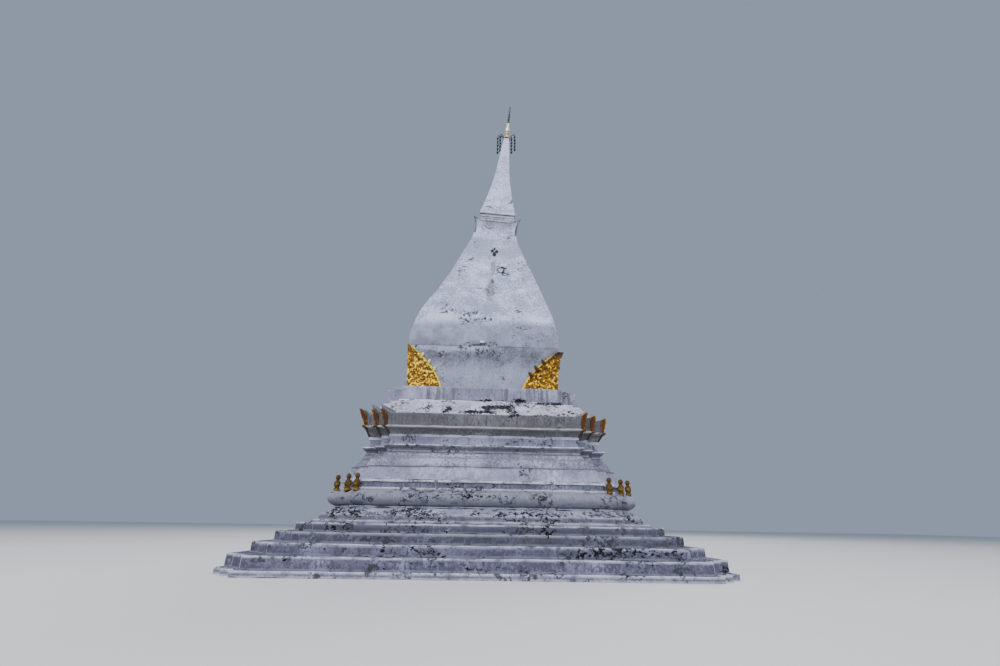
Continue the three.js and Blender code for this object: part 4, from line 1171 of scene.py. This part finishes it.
def scrollwork(a, b, width):
    """Height from 0 to 1 at a metres from the corner and b metres from the foot. Slow noise moves the scrolls
    about first, as they were modelled by hand."""
    place = np.stack([a, b, 0 * a], axis=-1)
    value = 0.49 + 0.34 * lumps(place, 0.055, 31) + 0.42 * lumps(place, 0.027, 34)
    raised = np.maximum(bell((width - a - 0.035) / 0.035), bell((b - 0.03) / 0.03))
    a = a + 0.028 * lumps(place, 0.13, 32)
    b = b + 0.028 * lumps(place, 0.13, 33)
    for centre_a, centre_b, size, turn in SCROLLS:
        r = np.hypot(a - centre_a, b - centre_b) / size
        angle = np.arctan2(b - centre_b, a - centre_a) * turn
        window = 0.40 * unit((1.05 - r) / 0.25)
        value = value * (1 - window) + window * (0.5 + 0.5 * np.cos(angle + 2 * pi * 1.4 * r))
    return unit(np.maximum(value, raised))


print(len(SCROLLS), "scrolls on a leaf")

# %% One corner leaf
def corner_leaf(shape):
    """One leaf round the corner at plus x, plus y: rings from the foot up, each running up one face to the corner
    and back along the other, with three points behind against the bud."""
    t = np.linspace(0, 0.995, LEAF_LEVELS)
    z, outer, bud, edge = leaf_outline(t, *shape)
    width = (outer - edge)[:, None]
    share = np.linspace(1, 0, LEAF_POINTS)[None]
    a, b = share * width, np.broadcast_to((z - LEAF_FOOT)[:, None], (LEAF_LEVELS, LEAF_POINTS))
    carved = scrollwork(a, b, width)
    proud = LEAF_RELIEF * (carved - 0.7) * unit(share / 0.04)
    flat_a, flat_out, upright = outer[:, None] - a, outer[:, None] + proud, np.broadcast_to(z[:, None], a.shape)
    one_face = np.stack([flat_out, flat_a, upright], axis=-1)
    other_face = np.stack([flat_a, flat_out, upright], axis=-1)[:, ::-1]
    back = np.stack([np.stack(corner + (z,), axis=-1) for corner in
                     ((edge, bud - 0.03), (bud - 0.06, bud - 0.06), (bud - 0.03, edge))], axis=1)
    rings = np.concatenate([one_face, other_face[:, 1:], back], axis=1)
    carved = np.concatenate([carved, carved[:, ::-1][:, 1:], np.zeros((LEAF_LEVELS, 3))], axis=1)
    tip_dust = np.interp(t, [0, 0.80, 0.97, 1], [0, 0, 0.6, 0.8])[:, None]
    higher = unit((t - 0.35) / 0.5)[:, None]
    crevice = unit((0.34 - carved) / 0.20)
    # A highlight is painted on the raised scrolls, less of it higher up.
    shine = unit((carved - 0.70) / 0.20) * unit(0.85 - 0.5 * higher + lumps(rings, 0.20, 35))
    hollows = unit(1.55 + 0.3 * higher - 2.2 * carved)
    return closed_skin(rings), mask_rows(carved.shape, hollows, np.maximum(tip_dust, 0.85 * crevice), shine)


print("corner leaf ready")

# %% Hooks of a leaf
HOOKS = [(0.46, 0.15), (0.61, 0.16), (0.76, 0.15)]
# Round each hook: painted shade where this is high, and a painted highlight where it is 0.
HOOK_SHADED_SIDE = np.array([1.0, 0.9, 0.3, 0.0, 0.0, 0.0, 0.0, 0.3, 0.9, 1.0])


def leaf_hooks(shape):
    """Upright hooks on the edge of each face, from how far up the leaf each stands and its rise. They are rods
    that taper, bend out and curl back, with painted shade on the side towards the bud and a painted highlight
    on the other side."""
    s = np.linspace(0, 1, 14)
    radius = 0.054 * (1 - s) ** 0.7 + 0.014
    skins = []
    for t, rise in HOOKS:
        z, outer, _, edge = leaf_outline(t, *shape)
        path = np.stack([edge + 0.05 - 0.085 * np.sin(s * pi * 0.62), outer - 0.02 + 0.05 * np.sin(s * pi),
                         z - 0.06 + rise * s], axis=1)
        for order in ([0, 1, 2], [1, 0, 2]):
            skins.append(closed_skin(tube(path[:, order], radius, (1.0, 0.0, 0.0), len(HOOK_SHADED_SIDE))))
    masks = mask_rows((len(s), len(HOOK_SHADED_SIDE)), 0.6 * HOOK_SHADED_SIDE, 0.5 * HOOK_SHADED_SIDE, 0.8 * (1 - HOOK_SHADED_SIDE))
    return skins, [masks] * len(skins)


print(len(HOOKS), "hooks on each face")

# %% Build the corner leaves
CORNERS = ["back_right", "back_left", "front_left", "front_right"]
LEAF_SHAPE, LEAF_SHAPES = (1.470, 0.87, 0.86, 0.075, 1.2), {"front_right": (1.290, 0.92, 0.85, 0.19, 3.0)}
# The front right leaf is duller: more hollow, more dust and shade, and little of the painted highlight.
DULLER = {"front_right": np.array([1.6, 1.7, 0.16, 1.0])}
for quarter, corner in enumerate(CORNERS):
    shape = LEAF_SHAPES.get(corner, LEAF_SHAPE)
    leaf_skin, leaf_masks = corner_leaf(shape)
    hook_skins, hook_masks = leaf_hooks(shape)
    vertices, quads, triangles = joined_skins([leaf_skin] + hook_skins)
    vertices = spun(vertices, quarter * pi / 2) + np.array([SHIFT, 0, 0])
    piece("gilded_leaf_" + corner, (vertices, quads, triangles), bright_gold, ["corner_leaf_" + corner],
          np.concatenate([leaf_masks] + hook_masks) * DULLER.get(corner, 1.0))

# %% [markdown]
# ## Lotus buds on the roll
#
# Three small gilded buds stand on the roll at each corner, one in front of each arris. They were set by hand,
# so some at the front stand out of line. Each is turned: a round foot, a belly of petals, and a knob.

# %% Lotus buds
LOTUS_RADIUS, LOTUS_POINTS, LOTUS_OUT = 0.082, 48, 0.064
LOTUS = [(0.45, -0.09), (0.66, -0.03), (0.96, 0.012), (0.86, 0.045), (0.62, 0.066), (0.86, 0.095), (1.02, 0.130),
         (1.04, 0.160), (0.90, 0.200), (0.60, 0.230), (0.42, 0.246), (0.50, 0.262), (0.70, 0.285), (0.76, 0.310),
         (0.66, 0.345), (0.36, 0.370), (0.05, 0.380)]
SLIPS = {"front_left": (0.010, -0.065, -0.055), "front_right": (0, -0.110, -0.065)}
ARRISES = [(3.650, 3.050), (3.350, 3.350), (3.050, 3.650)]
lotus_rings = revolved([(factor * LOTUS_RADIUS, z) for factor, z in LOTUS], LOTUS_POINTS, 8, 0.16, (0.07, 0.235))
lotus_dark = np.interp([z for _, z in LOTUS], [-0.09, 0.0, 0.02, 0.06, 0.10, 0.15, 0.246, 0.30, 0.38],
                       [0.9, 0.2, 0.0, 0.8, 0.2, 0.1, 0.9, 0.3, 0.7])[:, None]
lotus_masks = mask_rows((len(LOTUS), LOTUS_POINTS), lotus_dark, lotus_dark * 0.5)
for quarter, corner in enumerate(CORNERS):
    for number, ((x, y), slip) in enumerate(zip(ARRISES, SLIPS.get(corner, (0, 0, 0))), start=1):
        standing = lotus_rings + np.array([x + LOTUS_OUT + slip, y + LOTUS_OUT - slip, ROLL_TOP])
        name = f"lotus_bud_{corner}_{number}"
        skin = closed_skin(spun(standing, quarter * pi / 2))
        piece("gilded_" + name, skin, lotus_gold, [name], lotus_masks)

# %% [markdown]
# ## Finial and parasol
#
# The needle ends in a gilded skirt and stem and a thin iron rod with beads. Iron arms curve up out of a plate
# under the skirt, two to each side, like what is left of a parasol. A string of iron leaves hangs plumb from
# each, although the spire itself leans.

# %% Gilded skirt and stem
HUB_FOOT = along(17.060)
SKIRT_FOOT = HUB_FOOT + 0.045
SKIRT_TOP, STEM_TOP = SKIRT_FOOT + 0.190, along(18.070)
SKIRT = [(0.130, 0.0), (0.146, 0.004), (0.152, 0.022), (0.142, 0.048), (0.118, 0.090), (0.100, 0.14), (0.092, 0.190),
         (0.06, 0.193)]
STEM = [(0.06, 0.0), (0.086, 0.0), (0.086, 0.040), (0.074, 0.080), (0.078, 0.130), (0.096, 0.150), (0.104, 0.165),
        (0.096, 0.180), (0.074, 0.205), (0.092, 0.230), (0.104, 0.250), (0.102, 0.290), (0.092, 0.400), (0.074, 0.56),
        (0.056, STEM_TOP - SKIRT_TOP), (0.02, STEM_TOP - SKIRT_TOP)]


def upper_rings(profile, foot, *turning):
    """Turned rings that stand at a distance up the leaning line. turning is what revolved takes after a profile."""
    return on_upper_line(revolved([(radius, foot + height) for radius, height in profile], *turning))


rings = upper_rings(SKIRT, SKIRT_FOOT, 48, 12, 0.10, (SKIRT_FOOT - 0.02, SKIRT_FOOT + 0.16))
dusty = np.tile([0.45, 0.10, 0.0, 0.0], (rings.shape[0] * rings.shape[1] + 2, 1))
piece("gilded_skirt", closed_skin(rings), stem_gold, ["finial_skirt"], dusty)
rings = upper_rings(STEM, SKIRT_TOP, 40)
stem_dark = np.interp([height for _, height in STEM], [0.0, 0.03, 0.08, 0.13, 0.165, 0.205, 0.25, 0.3, 1.0],
                      [0.9, 0.2, 1.0, 0.3, 0.0, 1.0, 0.0, 0.2, 0.2])[:, None]
piece("gilded_stem", closed_skin(rings), stem_gold, ["finial_stem"],
      mask_rows(rings.shape[:2], stem_dark, unit(stem_dark - 0.6)))

# %% Iron rod
ROD_LENGTH = along(19.190) - STEM_TOP
BEAD = [(0.65, -0.042), (0.9, -0.024), (1.0, 0.0), (0.9, 0.024), (0.65, 0.042)]
rod = [(0.02, -0.01), (0.038, 0.0)]
for number, share in enumerate((0.06, 0.22, 0.36, 0.50)):
    rod += [((0.062 - 0.005 * number) * factor, share * ROD_LENGTH + rise) for factor, rise in BEAD]
rod += [(radius, share * ROD_LENGTH) for radius, share in
        ((0.028, 0.62), (0.034, 0.68), (0.040, 0.72), (0.026, 0.80), (0.030, 0.94), (0.002, 1.0))]
piece("iron_rod", closed_skin(upper_rings(rod, STEM_TOP, 16)), iron, ["finial_rod"])

# %% Iron parasol
ARM_START, ARM_RISE, ARM_RADIUS, WIRE_RADIUS = 0.125, 0.270, 0.018, 0.0125
PARASOL_ARMS = [(0.413, 173, 1.040), (0.304, 190, 0.990), (0.218, 12, 0.960), (0.364, -16, 0.920)]
HUB = [(0.13, 0.0), (0.148, 0.010), (0.148, 0.035), (0.13, 0.045)]
HUB_MIDDLE, LEAF_SHARES = 0.0225, (0.16, 0.36, 0.56, 0.76, 0.96)
iron_leaf = revolved([(0.002, -0.11), (0.026, -0.080), (0.046, -0.035), (0.051, 0.0), (0.038, 0.045), (0.016, 0.08),
                      (0.002, 0.10)], 12) * np.array([1.0, 1.2, 1.0])
skins = [closed_skin(upper_rings(HUB, HUB_FOOT, 32))]
for radius, degrees, length in PARASOL_ARMS:
    angle, turn = radians(degrees), np.linspace(0, pi / 2, 14)
    arm = np.stack([ARM_START + (radius - ARM_START) * (1 - np.cos(turn)), 0 * turn,
                    HUB_FOOT + HUB_MIDDLE + (ARM_RISE - HUB_MIDDLE) * np.sin(turn)], axis=1)
    skins.append(closed_skin(on_upper_line(spun(tube(arm, ARM_RADIUS), angle))))
    tip = on_upper_line(spun(arm[-1:], angle))[0]
    wire = tip + np.linspace([0, 0, -length], [0, 0, 0.012], 9)
    skins.append(closed_skin(tube(wire, WIRE_RADIUS, count=6)))
    for share in LEAF_SHARES:
        skins.append(closed_skin(spun(iron_leaf, angle) + tip - np.array([0, 0, share * length])))
piece("iron_parasol", joined_skins(skins), iron, ["parasol"])

# %% [markdown]
# ## Floor and light
#
# The tower stands on a plain pale floor. The photograph's sky was bright and even, so the light is a pale blue
# world with three very large soft lamps: one high in front, a weaker one low in front, and one high behind, so
# that the far sides can be seen too.

# %% Floor
FLOOR_HALF = 90.0
floor_mesh = bpy.data.meshes.new("floor")
floor_mesh.from_pydata([(x * FLOOR_HALF, y * FLOOR_HALF, 0) for x, y in ((-1, -1), (1, -1), (1, 1), (-1, 1))], [],
                       [(0, 1, 2, 3)])
floor_material, shader = new_material("pale_floor")
cloudy = noise((0.15, 0.15, 0.15), 1.0, 3.0)
connect(shader, {"Base Color": blend(cloudy, (0.66, 0.66, 0.66), (0.72, 0.72, 0.715)), "Roughness": 0.9})
floor_mesh.materials.append(floor_material)
floor = in_scene("floor", floor_mesh)
print("floor", 2 * FLOOR_HALF, "m wide")

# %% World and lamps
world = bpy.data.worlds.new("sky")
world.use_nodes = True
world.node_tree.nodes["Background"].inputs["Color"].default_value = (0.62, 0.76, 1.0, 1.0)
world.node_tree.nodes["Background"].inputs["Strength"].default_value = 0.45
bpy.context.scene.world = world


def soft_lamp(name, place, turn, tilt, size, power):
    """A square area lamp. It shines straight down before it is tilted up and turned, both in degrees."""
    data = bpy.data.lights.new(name, "AREA")
    data.shape, data.size, data.energy, data.color = "SQUARE", size, power, (1.0, 0.99, 0.97)
    lamp = in_scene(name, data)
    lamp.matrix_world = placed(place, (turn, "Z"), (tilt, "X"))
    lamp.visible_camera = False
    print("lamp", name, power, "W")


soft_lamp("high_front", (-6, -22, 42), -15, 30, 16.0, 18000)
soft_lamp("low_front", (-3, -38, 9), -5, 84, 14.0, 5200)
soft_lamp("high_back", (10, 30, 36), 162, 38, 18.0, 9000)
